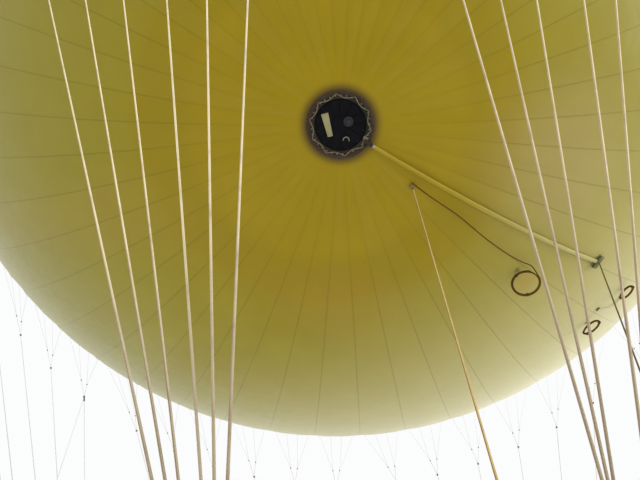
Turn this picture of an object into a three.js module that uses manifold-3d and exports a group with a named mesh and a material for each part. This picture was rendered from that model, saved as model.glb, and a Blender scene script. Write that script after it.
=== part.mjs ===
// A tethered gas balloon: envelope with valves, rope bridles, load ring, tether swivel and annular gondola.
// Millimetres, +Z up, origin at the envelope's centre. An azimuth is in degrees from +Y towards +X,
// and a polar angle is in degrees up from the lowest point of the envelope.
import * as THREE from 'three';
import { mergeVertices } from 'three/addons/utils/BufferGeometryUtils.js';
import Module from 'manifold-3d';

const wasm = await Module();
wasm.setup();

// Driving dimensions
const GAP = 0.3;
const ENVELOPE = { radius: 11000, shell: 10, gores: 46, seamAzimuth: 2.6, opening: 440 };
const ROW_ANGLES = [6, 12, 20, 29, 38, 47.5, 57.5, 68, 79, 90, 101, 112, 123, 134, 145, 156, 167, 174];
const VALVE = {
  lip: 395, lipStep: 2, flange: 500, flangeThickness: 12, neck: 424, neckWall: 8, neckRise: 42, seat: 5,
};
const LID = { radius: 412, thickness: 12, stiffener: 70, stiffenerHeight: 30, sunk: 1 };
const ROPES = { perLug: 6, step: 7.5, radius: 4.2, across: 5, deep: 8 };
const CROWS_FOOT = { knotShare: 0.515, legRadius: 3.4, legStart: 6, legSpread: 1.875, legGap: 1 };
const KNOT = { width: 26, depth: 20, length: 34 };
const RING = {
  lugs: 8, firstLug: -144.7, lugRadius: 800, lugHeight: -20000,
  topDrop: 50, section: 60, depth: 120, sides: 16,
};
const NET = { twist: -2.6, polar: 57.2, legPolar: 56.2, crownOffset: 24 };
const DECK = { top: -22180, thickness: 30, inner: 1200, outer: 2900, sides: 24 };
const RAIL = {
  height: 1100, tube: 40, post: 34, inner: 1250, outer: 2850, postStep: 16.3, gateHalfAngle: 8.5,
};
const FRAME = { depth: 140, innerWidth: 80, outerWidth: 100, beams: 8, beamWidth: 70, beamRelief: 20 };
const FEET = { count: 8, radius: 90, drop: 100, rise: 20 };

const ringTop = RING.lugHeight - RING.topDrop;
const ringBottom = ringTop - RING.depth;
const railTop = DECK.top + RAIL.height;

// Materials
const matte = (color, roughness = 0.7) =>
  new THREE.MeshStandardMaterial({ color, roughness, metalness: 0 });
const metal = (color, roughness = 0.45) =>
  new THREE.MeshStandardMaterial({ color, roughness, metalness: 0.9 });
const YELLOW_FABRIC = matte(0xc9a91c, 0.55);
const ROPE = matte(0xd8cba4, 0.85);
const DARK_ROPE = matte(0x5a4a34, 0.9);
const PALE_FABRIC = matte(0xcfc26a, 0.7);
const GREY_METAL = metal(0x8c8f91);
const ALUMINIUM = metal(0xb9bcbd, 0.35);
const DARK_PLATE = matte(0x22242a, 0.5);
const BEIGE = matte(0xb9ad6b, 0.6);
const RUBBER = matte(0x1b1c1d, 0.9);
const DECK_GREY = matte(0x7d8083, 0.8);
const PAINT_WHITE = matte(0xe4e4df, 0.4);

// Geometry helpers
const rad = (degrees) => THREE.MathUtils.degToRad(degrees);
const matrixAt = (azimuth, radius, z, lean = 0) =>
  new THREE.Matrix4()
    .makeRotationZ(-rad(azimuth))
    .multiply(new THREE.Matrix4().makeTranslation(0, radius, z))
    .multiply(new THREE.Matrix4().makeRotationX(-rad(lean)));
const at = (azimuth, radius, z) => new THREE.Vector3(0, radius, z).applyMatrix4(matrixAt(azimuth, 0, 0));
const shifted = (geometry, x, y, z) => geometry.translate(x, y, z);
const box = (x, y, z) => new THREE.BoxGeometry(x, y, z);

function cylinder(radius, height, sides = 16) {
  return new THREE.CylinderGeometry(radius, radius, height, sides).rotateX(Math.PI / 2);
}

// A straight round bar between two points
function bar(start, end, radius, sides = 6) {
  const along = new THREE.Vector3().subVectors(end, start);
  const length = along.length();
  const turn = new THREE.Quaternion().setFromUnitVectors(new THREE.Vector3(0, 0, 1), along.normalize());
  const middle = new THREE.Vector3().addVectors(start, end).multiplyScalar(0.5);
  return cylinder(radius, length, sides).applyQuaternion(turn).translate(...middle);
}

// A profile of [radius, z] pairs, anticlockwise, turned about the vertical axis
function lathe(profile, segments, seamAzimuth = 0) {
  const points = [...profile, profile[0]].map(([radius, z]) => new THREE.Vector2(radius, z));
  return new THREE.LatheGeometry(points, segments, Math.PI - rad(seamAzimuth)).rotateX(Math.PI / 2);
}

const ringBand = (inner, outer, bottom, top, segments, seamAzimuth = 0) =>
  lathe([[inner, bottom], [outer, bottom], [outer, top], [inner, top]], segments, seamAzimuth);

// A flat band between two azimuths
function arcBand(inner, outer, bottom, top, fromAzimuth, toAzimuth, curveSegments) {
  const start = rad(90 - toAzimuth);
  const end = rad(90 - fromAzimuth);
  const outline = new THREE.Shape();
  outline.absarc(0, 0, outer, start, end, false);
  outline.absarc(0, 0, inner, end, start, true);
  const settings = { depth: top - bottom, bevelEnabled: false, curveSegments };
  return new THREE.ExtrudeGeometry(outline, settings).translate(0, 0, bottom);
}

// Coordinates are rounded to a hundredth of a millimetre
const STEPS = 100;

function solidOf(geometry) {
  const plain = new THREE.BufferGeometry();
  const flat = geometry.index ? geometry.toNonIndexed() : geometry;
  const places = flat.attributes.position.array;
  const rounded = Float32Array.from(places, (value) => Math.round(value * STEPS) / STEPS);
  plain.setAttribute('position', new THREE.BufferAttribute(rounded, 3));
  const merged = mergeVertices(plain, 0.005);
  const triVerts = new Uint32Array(merged.index.array);
  const vertProperties = merged.attributes.position.array;
  return new wasm.Manifold(new wasm.Mesh({ numProp: 3, vertProperties, triVerts }));
}

function geometryOf(solid) {
  const mesh = solid.getMesh();
  const geometry = new THREE.BufferGeometry();
  geometry.setAttribute('position', new THREE.BufferAttribute(mesh.vertProperties, 3));
  geometry.setIndex(new THREE.BufferAttribute(mesh.triVerts, 1));
  return geometry;
}

// Joins closed geometries into one solid and cuts others from it
function join(parts, cuts = []) {
  const joined = parts.map(solidOf).reduce((sum, solid) => sum.add(solid));
  return geometryOf(cuts.map(solidOf).reduce((rest, solid) => rest.subtract(solid), joined));
}

// The envelope's faceted shell and places on it
const openingPolar = THREE.MathUtils.radToDeg(Math.asin(ENVELOPE.opening / ENVELOPE.radius));
const shellRows = [openingPolar, ...ROW_ANGLES, 180 - openingPolar];

function onSphere(azimuth, polar, radius) {
  return at(azimuth, radius * Math.sin(rad(polar)), -radius * Math.cos(rad(polar)));
}

// The facet of the shell that an azimuth and a polar angle meet, and the point there, lifted by a gap
function shellSpot(azimuth, polar, gap) {
  const goreAngle = 360 / ENVELOPE.gores;
  const gore = Math.floor((azimuth - ENVELOPE.seamAzimuth) / goreAngle);
  const left = ENVELOPE.seamAzimuth + gore * goreAngle;
  const row = shellRows.findIndex((angle) => angle > polar);
  const low = onSphere(left, shellRows[row - 1], ENVELOPE.radius);
  const high = onSphere(left, shellRows[row], ENVELOPE.radius);
  const across = onSphere(left + goreAngle, shellRows[row - 1], ENVELOPE.radius);
  const facet = new THREE.Plane().setFromCoplanarPoints(low, across, high);
  if (facet.constant > 0) facet.negate();
  const ray = onSphere(azimuth, polar, 1);
  const distance = -facet.constant / facet.normal.dot(ray);
  const point = ray.multiplyScalar(distance).addScaledVector(facet.normal, gap);
  return { point, normal: facet.normal };
}

// Turns +Z to the facet's normal and +Y up along the gore
function shellMatrix(azimuth, polar, gap) {
  const { point, normal } = shellSpot(azimuth, polar, gap);
  const side = new THREE.Vector3(-Math.cos(rad(azimuth)), Math.sin(rad(azimuth)), 0);
  const along = new THREE.Vector3().crossVectors(normal, side).normalize();
  const across = new THREE.Vector3().crossVectors(along, normal);
  return new THREE.Matrix4().makeBasis(across, along, normal).setPosition(point);
}

function envelopeShell() {
  const inner = ENVELOPE.radius - ENVELOPE.shell;
  const rowsAt = (radius) =>
    shellRows.map((polar) => [radius * Math.sin(rad(polar)), -radius * Math.cos(rad(polar))]);
  const profile = [...rowsAt(ENVELOPE.radius), ...rowsAt(inner).reverse()];
  return lathe(profile, ENVELOPE.gores, ENVELOPE.seamAzimuth);
}

// Valves: a collar clamped to the fabric and a plate that opens inwards, at the bottom and at the crown
const shellEdge = ENVELOPE.radius * Math.cos(rad(openingPolar));
const VALVE_SEGMENTS = 24;

function valveCollar() {
  const flangeTop = -shellEdge - GAP;
  const flangeBottom = flangeTop - VALVE.flangeThickness;
  const neckTop = flangeTop + VALVE.neckRise;
  const neckOuter = VALVE.neck + VALVE.neckWall;
  const lipTop = flangeTop - VALVE.lipStep;
  return lathe([
    [VALVE.lip, flangeBottom], [VALVE.flange, flangeBottom], [VALVE.flange, flangeTop],
    [neckOuter, flangeTop], [neckOuter, neckTop], [VALVE.neck, neckTop],
    [VALVE.neck, lipTop], [VALVE.lip, lipTop],
  ], VALVE_SEGMENTS);
}

const lidBottom = -shellEdge - GAP - VALVE.lipStep + VALVE.seat;

function valveLid() {
  const plateMiddle = lidBottom + LID.thickness / 2;
  const plate = cylinder(LID.radius, LID.thickness, VALVE_SEGMENTS).translate(0, 0, plateMiddle);
  const stiffenerMiddle = lidBottom + LID.thickness - LID.sunk + LID.stiffenerHeight / 2;
  const stiffener = shifted(cylinder(LID.stiffener, LID.stiffenerHeight, 12), 0, 0, stiffenerMiddle);
  return join([plate, stiffener]);
}

function flipped(geometry) {
  return geometry.rotateX(Math.PI);
}

// What hangs under the bottom valve: a beige strut, a round boss and the fill port
const STRUT = { width: 110, length: 356, thickness: 24, azimuth: 20.5, x: -193, y: 19 };
const BOSS = { radius: 75, height: 40, cap: 40, capHeight: 24, sunk: 4, x: 114, y: -67 };

function valveStrut() {
  return box(STRUT.width, STRUT.length, STRUT.thickness)
    .rotateZ(-rad(STRUT.azimuth))
    .translate(STRUT.x, STRUT.y, lidBottom - GAP - STRUT.thickness / 2);
}

function valveBoss() {
  const bossMiddle = lidBottom - GAP - BOSS.height / 2;
  const capMiddle = lidBottom - GAP - BOSS.height + BOSS.sunk - BOSS.capHeight / 2;
  const boss = shifted(cylinder(BOSS.radius, BOSS.height, 16), BOSS.x, BOSS.y, bossMiddle);
  const cap = shifted(cylinder(BOSS.cap, BOSS.capHeight, 12), BOSS.x, BOSS.y, capMiddle);
  return join([boss, cap]);
}

const PORT = { azimuth: 63.9, radius: 450, tube: 30, drop: 88, reach: 112, sides: 12 };
const collarBottom = -shellEdge - GAP - VALVE.flangeThickness;

function fillPort() {
  const spigotMiddle = collarBottom - GAP - PORT.drop / 2;
  const spigot = cylinder(PORT.tube, PORT.drop, PORT.sides).translate(0, 0, spigotMiddle);
  const elbow = cylinder(PORT.tube, PORT.reach, PORT.sides).rotateX(Math.PI / 2);
  shifted(elbow, 0, PORT.reach / 2, collarBottom - GAP - PORT.drop + PORT.tube);
  return join([spigot, elbow]).applyMatrix4(matrixAt(PORT.azimuth, PORT.radius, 0));
}

// The fill sleeve lies along the envelope: gathered at the port and flat at its clamp
const SLEEVE = {
  startPolar: 2.95, endPolar: 30.1, startAzimuth: 63.9, endAzimuth: 66.1,
  openShare: 0.35, steps: 12, sides: 10,
};
const SLEEVE_SECTION = {
  startWidth: 32, endWidth: 42, startDepth: 30, endDepth: 14, startLift: 80, endLift: 34,
};

function fillSleeve() {
  const geometry = new THREE.CylinderGeometry(1, 1, 1, SLEEVE.sides, SLEEVE.steps);
  const position = geometry.attributes.position;
  for (let i = 0; i < position.count; i += 1) {
    const share = position.getY(i) + 0.5;
    const opened = THREE.MathUtils.smoothstep(share, 0, SLEEVE.openShare);
    const polar = THREE.MathUtils.lerp(SLEEVE.startPolar, SLEEVE.endPolar, share);
    const azimuth = THREE.MathUtils.lerp(SLEEVE.startAzimuth, SLEEVE.endAzimuth, share);
    const width = THREE.MathUtils.lerp(SLEEVE_SECTION.startWidth, SLEEVE_SECTION.endWidth, opened);
    const depth = THREE.MathUtils.lerp(SLEEVE_SECTION.startDepth, SLEEVE_SECTION.endDepth, opened);
    const lift = THREE.MathUtils.lerp(SLEEVE_SECTION.startLift, SLEEVE_SECTION.endLift, opened);
    const spot = onSphere(azimuth, polar, ENVELOPE.radius + lift + position.getZ(i) * depth);
    const side = new THREE.Vector3(-Math.cos(rad(azimuth)), Math.sin(rad(azimuth)), 0);
    spot.addScaledVector(side, position.getX(i) * width);
    position.setXYZ(i, spot.x, spot.y, spot.z);
  }
  return geometryOf(solidOf(geometry));
}

const CLAMP = { width: 270, length: 110, depth: 50, fromSleeve: 4 };
const clampLift = SLEEVE_SECTION.endLift;

function sleeveClamp() {
  return box(CLAMP.width, CLAMP.length, CLAMP.depth)
    .translate(0, CLAMP.fromSleeve + CLAMP.length / 2, 0)
    .applyMatrix4(new THREE.Matrix4().makeBasis(...sleeveEndBasis()).setPosition(sleeveEnd()));
}

function sleeveEnd() {
  return onSphere(SLEEVE.endAzimuth, SLEEVE.endPolar, ENVELOPE.radius + clampLift);
}

function sleeveEndBasis() {
  const outward = onSphere(SLEEVE.endAzimuth, SLEEVE.endPolar, 1);
  const side = new THREE.Vector3(-Math.cos(rad(SLEEVE.endAzimuth)), Math.sin(rad(SLEEVE.endAzimuth)), 0);
  return [side, new THREE.Vector3().crossVectors(outward, side), outward];
}

// Lugs on the load ring and the shackles pinned in them
const LUG = {
  thickness: 16, width: 64, above: 26, below: 66, hole: 14, pin: 12, pinEnd: 6, cheek: 10, play: 1, sides: 6,
};

// An upright plate on top of the ring (+1) or under it (-1), and the hole that goes through it
function lugPlate(azimuth, z, side) {
  return box(LUG.thickness, LUG.width, LUG.above + LUG.below)
    .translate(0, 0, (side * (LUG.above - LUG.below)) / 2)
    .applyMatrix4(matrixAt(azimuth, RING.lugRadius, z));
}

function lugHole(azimuth, z) {
  return cylinder(LUG.hole, 3 * LUG.thickness, LUG.sides)
    .rotateY(Math.PI / 2)
    .applyMatrix4(matrixAt(azimuth, RING.lugRadius, z));
}

const SHACKLE = { width: 56, below: 26, above: 62, crownDepth: 44, crownHeight: 36, ropeCrown: 108 };

function shackle(azimuth, radius, z, lean, crownWidth) {
  const offset = LUG.thickness / 2 + LUG.play + LUG.cheek / 2;
  const parts = [-1, 1].map((side) =>
    box(LUG.cheek, SHACKLE.width, SHACKLE.below + SHACKLE.above)
      .translate(side * offset, 0, (SHACKLE.above - SHACKLE.below) / 2));
  parts.push(cylinder(LUG.pin, 2 * offset + LUG.cheek + 2 * LUG.pinEnd, LUG.sides).rotateY(Math.PI / 2));
  parts.push(shifted(box(crownWidth, SHACKLE.crownDepth, SHACKLE.crownHeight), 0, 0, SHACKLE.above));
  return parts.map((part) => part.applyMatrix4(matrixAt(azimuth, radius, z, lean)));
}

const tangentPoint = onSphere(0, NET.polar, ENVELOPE.radius);
const leanTo = (outwards, upwards) => THREE.MathUtils.radToDeg(Math.atan2(outwards, upwards));
const ropeLean = leanTo(tangentPoint.y - RING.lugRadius, tangentPoint.z - RING.lugHeight);
const lugAzimuth = (index) => RING.firstLug + index * (360 / RING.lugs);

// The two ends of one suspension rope: its place on the shackle's crown, and the net azimuth it runs to
function ropeEnds(lug, index) {
  const half = ROPES.perLug / 2;
  const side = index < half ? 1 : -1;
  const step = 1 - (index % half);
  const place = side * NET.crownOffset + step * ROPES.across;
  const crown = new THREE.Vector3(place, step * ROPES.deep, SHACKLE.above)
    .applyMatrix4(matrixAt(lugAzimuth(lug), RING.lugRadius, RING.lugHeight, ropeLean));
  const spread = ((ROPES.perLug - 1) / 2 - index) * ROPES.step;
  const azimuth = lugAzimuth(lug) + NET.twist + spread;
  const net = onSphere(azimuth, NET.polar, ENVELOPE.radius + ROPES.radius);
  return { crown, net, azimuth };
}

// A knot's block, its Z along the rope and its X round the balloon
function knotBlock(knot, along, azimuth) {
  const depth = new THREE.Vector3().crossVectors(along, at(azimuth + 90, 1, 0)).normalize();
  const basis = new THREE.Matrix4().makeBasis(new THREE.Vector3().crossVectors(depth, along), depth, along);
  return box(KNOT.width, KNOT.depth, KNOT.length).applyMatrix4(basis.setPosition(knot));
}

// Six ropes fan out from one shackle, and each ends in a knot and two legs that reach the envelope
function bridle(lug) {
  const parts = shackle(lugAzimuth(lug), RING.lugRadius, RING.lugHeight, ropeLean, SHACKLE.ropeCrown);
  for (let index = 0; index < ROPES.perLug; index += 1) {
    const { crown, net, azimuth } = ropeEnds(lug, index);
    const knot = new THREE.Vector3().lerpVectors(crown, net, CROWS_FOOT.knotShare);
    const along = new THREE.Vector3().subVectors(net, crown).normalize();
    parts.push(bar(crown, knot, ROPES.radius, 4), knotBlock(knot, along, azimuth));
    for (const side of [-1, 1]) {
      const lift = CROWS_FOOT.legRadius + CROWS_FOOT.legGap;
      const legEnd = shellSpot(azimuth + side * CROWS_FOOT.legSpread, NET.legPolar, lift).point;
      const legStart = at(azimuth + 90 * side, CROWS_FOOT.legStart, 0).add(knot);
      parts.push(bar(legStart, legEnd, CROWS_FOOT.legRadius, 3));
    }
  }
  return join(parts);
}

// The load ring with its cross, its upper lugs for the bridles and its lower lugs for the gondola stays
const STAY = { lugDrop: 50, radius: 8, crown: 40, foot: 70, footThickness: 14 };
const stayLugHeight = ringBottom - STAY.lugDrop;
const stayLean = 180 - leanTo(RAIL.inner - RING.lugRadius, stayLugHeight - railTop);
const HUB = { radius: 110, arm: 60, armBite: 10, armRelief: 30 };
const ringSeam = RING.firstLug + 180 / RING.sides;

function loadRing() {
  const inner = RING.lugRadius - RING.section / 2;
  const parts = [ringBand(inner, inner + RING.section, ringBottom, ringTop, RING.sides, ringSeam)];
  const holes = [];
  for (let lug = 0; lug < RING.lugs; lug += 1) {
    const azimuth = lugAzimuth(lug);
    parts.push(lugPlate(azimuth, RING.lugHeight, 1), lugPlate(azimuth, stayLugHeight, -1));
    holes.push(lugHole(azimuth, RING.lugHeight), lugHole(azimuth, stayLugHeight));
  }
  const middle = (ringTop + ringBottom) / 2;
  for (const azimuth of [0, 90]) {
    const arm = box(HUB.arm, 2 * (inner + HUB.armBite), RING.depth - HUB.armRelief);
    parts.push(arm.rotateZ(-rad(azimuth)).translate(0, 0, middle));
  }
  parts.push(shifted(cylinder(HUB.radius, RING.depth, 16), 0, 0, middle));
  return join(parts, holes);
}

// Load cell under the ring's hub, and the tether swivel that turns on its pin in the load cell's bore
const CELL = { radius: 70, height: 180, bore: 34, boreDepth: 60 };
const SWIVEL = {
  pin: 30, pinRise: 54, pinSunk: 20, shoulder: 66, height: 170, flange: 95, flangeThickness: 24, play: 6,
};
const cellBottom = ringBottom - GAP - CELL.height;
const swivelTop = cellBottom - SWIVEL.play;

function loadCell() {
  const cell = shifted(cylinder(CELL.radius, CELL.height, 16), 0, 0, cellBottom + CELL.height / 2);
  const bore = shifted(cylinder(CELL.bore, CELL.boreDepth * 2, 16), 0, 0, cellBottom);
  return join([cell], [bore]);
}

function tetherSwivel() {
  const pinMiddle = swivelTop + (SWIVEL.pinRise - SWIVEL.pinSunk) / 2;
  const pin = shifted(cylinder(SWIVEL.pin, SWIVEL.pinRise + SWIVEL.pinSunk, 16), 0, 0, pinMiddle);
  const body = shifted(cylinder(SWIVEL.shoulder, SWIVEL.height, 16), 0, 0, swivelTop - SWIVEL.height / 2);
  const flangeMiddle = swivelTop - SWIVEL.height + SWIVEL.flangeThickness / 2;
  return join([pin, body, shifted(cylinder(SWIVEL.flange, SWIVEL.flangeThickness, 16), 0, 0, flangeMiddle)]);
}

// The inner rail stands round the well
const INNER_RAIL = { midRails: [0.3, 0.65], midRail: 12, foot: 90, footThickness: 10 };

function innerRail() {
  const half = RAIL.tube / 2;
  const rail = (top, size) =>
    ringBand(RAIL.inner - size, RAIL.inner + size, top - 2 * size, top, RING.sides, ringSeam);
  const parts = [rail(railTop, half)];
  for (const share of INNER_RAIL.midRails) {
    parts.push(rail(DECK.top + share * RAIL.height, INNER_RAIL.midRail));
  }
  const foot = DECK.top + GAP;
  for (let lug = 0; lug < RING.lugs; lug += 1) {
    const azimuth = lugAzimuth(lug);
    const height = railTop - half - foot;
    const post = box(RAIL.post, RAIL.post, height).translate(0, RAIL.inner, foot + height / 2);
    const plate = box(INNER_RAIL.foot, INNER_RAIL.foot, INNER_RAIL.footThickness)
      .translate(0, RAIL.inner, foot + INNER_RAIL.footThickness / 2);
    parts.push(post.rotateZ(-rad(azimuth)), plate.rotateZ(-rad(azimuth)));
  }
  return join(parts);
}

// Eight steel stays rise from feet on the inner rail to shackles in the ring's lower lugs
function stay(lug) {
  const azimuth = lugAzimuth(lug);
  const parts = shackle(azimuth, RING.lugRadius, stayLugHeight, stayLean, STAY.crown);
  const crown = new THREE.Vector3(0, 0, SHACKLE.above)
    .applyMatrix4(matrixAt(azimuth, RING.lugRadius, stayLugHeight, stayLean));
  const footMiddle = railTop + GAP + STAY.footThickness / 2;
  parts.push(bar(crown, at(azimuth, RAIL.inner, footMiddle), STAY.radius, 8));
  const foot = box(STAY.foot, RAIL.tube, STAY.footThickness).translate(0, RAIL.inner, footMiddle);
  parts.push(foot.rotateZ(-rad(azimuth)));
  return join(parts);
}

// The gondola: deck, underframe with feet, fender, outer rails and gates
const deckBottom = DECK.top - DECK.thickness;
const frameTop = deckBottom - GAP;
const frameBottom = frameTop - FRAME.depth;
const FENDER = { tube: 60, gap: 0.4 };

function gondolaUnderframe() {
  const parts = [
    ringBand(DECK.inner, DECK.inner + FRAME.innerWidth, frameBottom, frameTop, DECK.sides),
    ringBand(DECK.outer - FRAME.outerWidth, DECK.outer, frameBottom, frameTop, DECK.sides),
  ];
  const span = DECK.outer - DECK.inner - FRAME.outerWidth;
  const middle = (DECK.inner + DECK.outer - FRAME.outerWidth / 2) / 2;
  for (let n = 0; n < FRAME.beams; n += 1) {
    const beam = box(FRAME.beamWidth, span, FRAME.depth - FRAME.beamRelief);
    beam.translate(0, middle, frameTop - FRAME.depth / 2);
    parts.push(beam.rotateZ(rad((n * 360) / FRAME.beams)));
  }
  const footMiddle = frameBottom + (FEET.rise - FEET.drop) / 2;
  for (let n = 0; n < FEET.count; n += 1) {
    const foot = cylinder(FEET.radius, FEET.drop + FEET.rise, 8);
    foot.applyMatrix4(matrixAt((n * 360) / FEET.count, DECK.outer - FRAME.outerWidth, footMiddle));
    parts.push(foot);
  }
  return join(parts);
}

function gondolaFender() {
  const flat = Math.tan(Math.PI / 8);
  const centre = DECK.outer + FENDER.gap + FENDER.tube;
  const lower = [[-1, -flat], [-flat, -1], [flat, -1], [1, -flat]];
  const upper = [[1, flat], [flat, 1], [-flat, 1], [-1, flat]];
  const middle = (frameTop + frameBottom) / 2;
  const profile = [...lower, ...upper].map(([x, z]) => [centre + x * FENDER.tube, middle + z * FENDER.tube]);
  return lathe(profile, DECK.sides);
}

const GATE_AZIMUTHS = [90, 270];
const OUTER_RAIL = { levels: [0.4, 0.7], slim: 12, toeBoard: 160, toeThickness: 6, postDrop: 10 };

function outerRail(gateAzimuth) {
  const from = gateAzimuth + RAIL.gateHalfAngle;
  const to = gateAzimuth + 180 - RAIL.gateHalfAngle;
  const half = RAIL.tube / 2;
  const spans = Math.round((to - from) / RAIL.postStep);
  const band = (size, bottom, top) =>
    arcBand(RAIL.outer - size, RAIL.outer + size, bottom, top, from, to, spans);
  const foot = DECK.top + GAP;
  const parts = [
    band(half, railTop - RAIL.tube, railTop),
    band(OUTER_RAIL.toeThickness, foot, foot + OUTER_RAIL.toeBoard),
  ];
  for (const share of OUTER_RAIL.levels) {
    const level = DECK.top + share * RAIL.height;
    parts.push(band(OUTER_RAIL.slim, level - OUTER_RAIL.slim, level + OUTER_RAIL.slim));
  }
  for (let n = 0; n <= spans; n += 1) {
    const azimuth = from + (n * (to - from)) / spans;
    const postTop = railTop - OUTER_RAIL.postDrop;
    const post = box(RAIL.post, RAIL.post, postTop - foot).translate(0, RAIL.outer, (postTop + foot) / 2);
    parts.push(post.rotateZ(-rad(azimuth)));
  }
  for (const level of GATE_HINGE.levels) {
    parts.push(hingeKnuckle(level - GATE_HINGE.height / 2 - GATE_HINGE.play, -1, gateAzimuth + 180));
  }
  return join(parts);
}

// A gate swings inwards on two knuckles beside the rail's end post
const GATE = { tube: 36, bottom: 70, stile: 18, endClear: 26, bars: 5, bar: 7 };
const GATE_HINGE = {
  offset: 16, lift: 4, radius: 11, height: 60, leaf: 34, leafThickness: 10, play: 1.5,
  levels: [DECK.top + 260, DECK.top + 880],
};
const gateHalfChord = RAIL.outer * Math.sin(rad(RAIL.gateHalfAngle)) - RAIL.tube / 2;
const gateHingeRadius = RAIL.outer * Math.cos(rad(RAIL.gateHalfAngle)) - GATE.tube / 2 - GATE_HINGE.lift;
const gateHingeX = -gateHalfChord + GATE_HINGE.offset;

// A knuckle on the gate's side (+1) or on the post's side (-1) of the hinge line, below a level
function hingeKnuckle(top, side, gateAzimuth) {
  const barrel = cylinder(GATE_HINGE.radius, GATE_HINGE.height, 10);
  const leaf = box(GATE_HINGE.leaf, GATE_HINGE.leafThickness, GATE_HINGE.height);
  leaf.translate((side * GATE_HINGE.leaf) / 2, GATE_HINGE.lift, 0);
  return join([barrel, leaf])
    .translate(gateHingeX, gateHingeRadius, top - GATE_HINGE.height / 2)
    .rotateZ(-rad(gateAzimuth));
}

function gate(azimuth) {
  const left = gateHingeX + GATE.stile;
  const right = gateHalfChord - GATE.endClear;
  const y = gateHingeRadius + GATE.tube / 2 + GATE_HINGE.lift;
  const bottom = DECK.top + GATE.bottom;
  const width = right - left;
  const height = railTop - bottom;
  const centreX = (left + right) / 2;
  const centreZ = (bottom + railTop) / 2;
  const parts = [
    box(GATE.tube, GATE.tube, height).translate(left + GATE.tube / 2, y, centreZ),
    box(GATE.tube, GATE.tube, height).translate(right - GATE.tube / 2, y, centreZ),
    box(width, GATE.tube, GATE.tube).translate(centreX, y, railTop - GATE.tube / 2),
    box(width, GATE.tube, GATE.tube).translate(centreX, y, bottom + GATE.tube / 2),
  ];
  for (let n = 1; n <= GATE.bars; n += 1) {
    const x = left + (n * width) / (GATE.bars + 1);
    parts.push(cylinder(GATE.bar, height - GATE.tube, 6).translate(x, y, centreZ));
  }
  const turned = parts.map((part) => part.rotateZ(-rad(azimuth)));
  for (const level of GATE_HINGE.levels) {
    turned.push(hingeKnuckle(level + GATE_HINGE.height / 2, 1, azimuth));
  }
  return join(turned);
}

// The control box on the inner rail, and the control line that comes down to it
const CONTROL_BOX = { azimuth: 34, width: 320, depth: 220, height: 260, drop: 60, offset: 4 };
const CONTROL_LINE = { radius: 10, sides: 8, eyeGap: 3, boxGap: 2 };
const LINE_EYE = { azimuth: 55.2, polar: 7.75 };
const EYE = { patch: 50, patchThickness: 8, ring: 28, tube: 7, middle: 36 };

function controlBox() {
  const inner = RAIL.inner + RAIL.tube / 2 + CONTROL_BOX.offset;
  const housing = box(CONTROL_BOX.width, CONTROL_BOX.depth, CONTROL_BOX.height)
    .translate(0, inner + CONTROL_BOX.depth / 2, railTop - CONTROL_BOX.drop - CONTROL_BOX.height / 2);
  return housing.rotateZ(-rad(CONTROL_BOX.azimuth));
}

// A round patch on the envelope with an eye that stands on it
function eyePatch(azimuth, polar) {
  const patch = shifted(cylinder(EYE.patch, EYE.patchThickness, 10), 0, 0, EYE.patchThickness / 2);
  const eye = new THREE.TorusGeometry(EYE.ring, EYE.tube, 5, 10)
    .rotateX(Math.PI / 2)
    .translate(0, 0, EYE.middle);
  return join([patch, eye]).applyMatrix4(shellMatrix(azimuth, polar, GAP));
}

const eyeTip = EYE.middle + EYE.ring + EYE.tube;

function controlLine() {
  const top = new THREE.Vector3(0, 0, eyeTip + CONTROL_LINE.eyeGap)
    .applyMatrix4(shellMatrix(LINE_EYE.azimuth, LINE_EYE.polar, GAP));
  const boxMiddle = RAIL.inner + RAIL.tube / 2 + CONTROL_BOX.offset + CONTROL_BOX.depth / 2;
  const bottom = at(CONTROL_BOX.azimuth, boxMiddle, railTop - CONTROL_BOX.drop + CONTROL_LINE.boxGap);
  return bar(bottom, top, CONTROL_LINE.radius, CONTROL_LINE.sides);
}

// The sleeve's tie runs from its clamp down to the outer rail
const TIE = { azimuth: 40, radius: 9, clampGap: 1, railGap: 4 };

function sleeveTie() {
  const [, along, outward] = sleeveEndBasis();
  const start = sleeveEnd()
    .addScaledVector(along, CLAMP.fromSleeve + CLAMP.length / 2)
    .addScaledVector(outward, CLAMP.depth / 2 + TIE.radius + TIE.clampGap);
  return bar(start, at(TIE.azimuth, RAIL.outer, railTop + TIE.railGap), TIE.radius);
}

// Spare rope: a slack line from the eye to the first coil, and two more coils farther up
const SLACK = { radius: 11, sides: 8, steps: 60 };
const SLACK_ROUTE = [
  [1205, 777, -10982], [1526, 974, -10936], [2027, 1253, -10851], [2635, 1675, -10678],
  [3070, 1942, -10505], [3353, 2091, -10373], [3579, 2184, -10267],
];
const COIL = { tube: 24, segments: 24, sides: 8, eyeGap: 2 };
const COILS = [
  { name: 'coil_1', azimuth: 55.6, polar: 22.1, lean: 60, turn: -20, radius: 232, squash: 1 },
  { name: 'coil_2', azimuth: 55.3, polar: 38.9, lean: 88, turn: -3, radius: 193, squash: 0.62 },
  { name: 'coil_3', azimuth: 63.4, polar: 39.3, lean: 88, turn: -4, radius: 165, squash: 0.62 },
];

function slackLine() {
  const route = new THREE.CatmullRomCurve3(SLACK_ROUTE.map((point) => new THREE.Vector3(...point)));
  const section = new THREE.Shape();
  for (let n = 0; n < SLACK.sides; n += 1) {
    const angle = (n * 2 * Math.PI) / SLACK.sides;
    const corner = [SLACK.radius * Math.cos(angle), SLACK.radius * Math.sin(angle)];
    if (n) section.lineTo(...corner);
    else section.moveTo(...corner);
  }
  return new THREE.ExtrudeGeometry(section, { steps: SLACK.steps, extrudePath: route, bevelEnabled: false });
}

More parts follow.
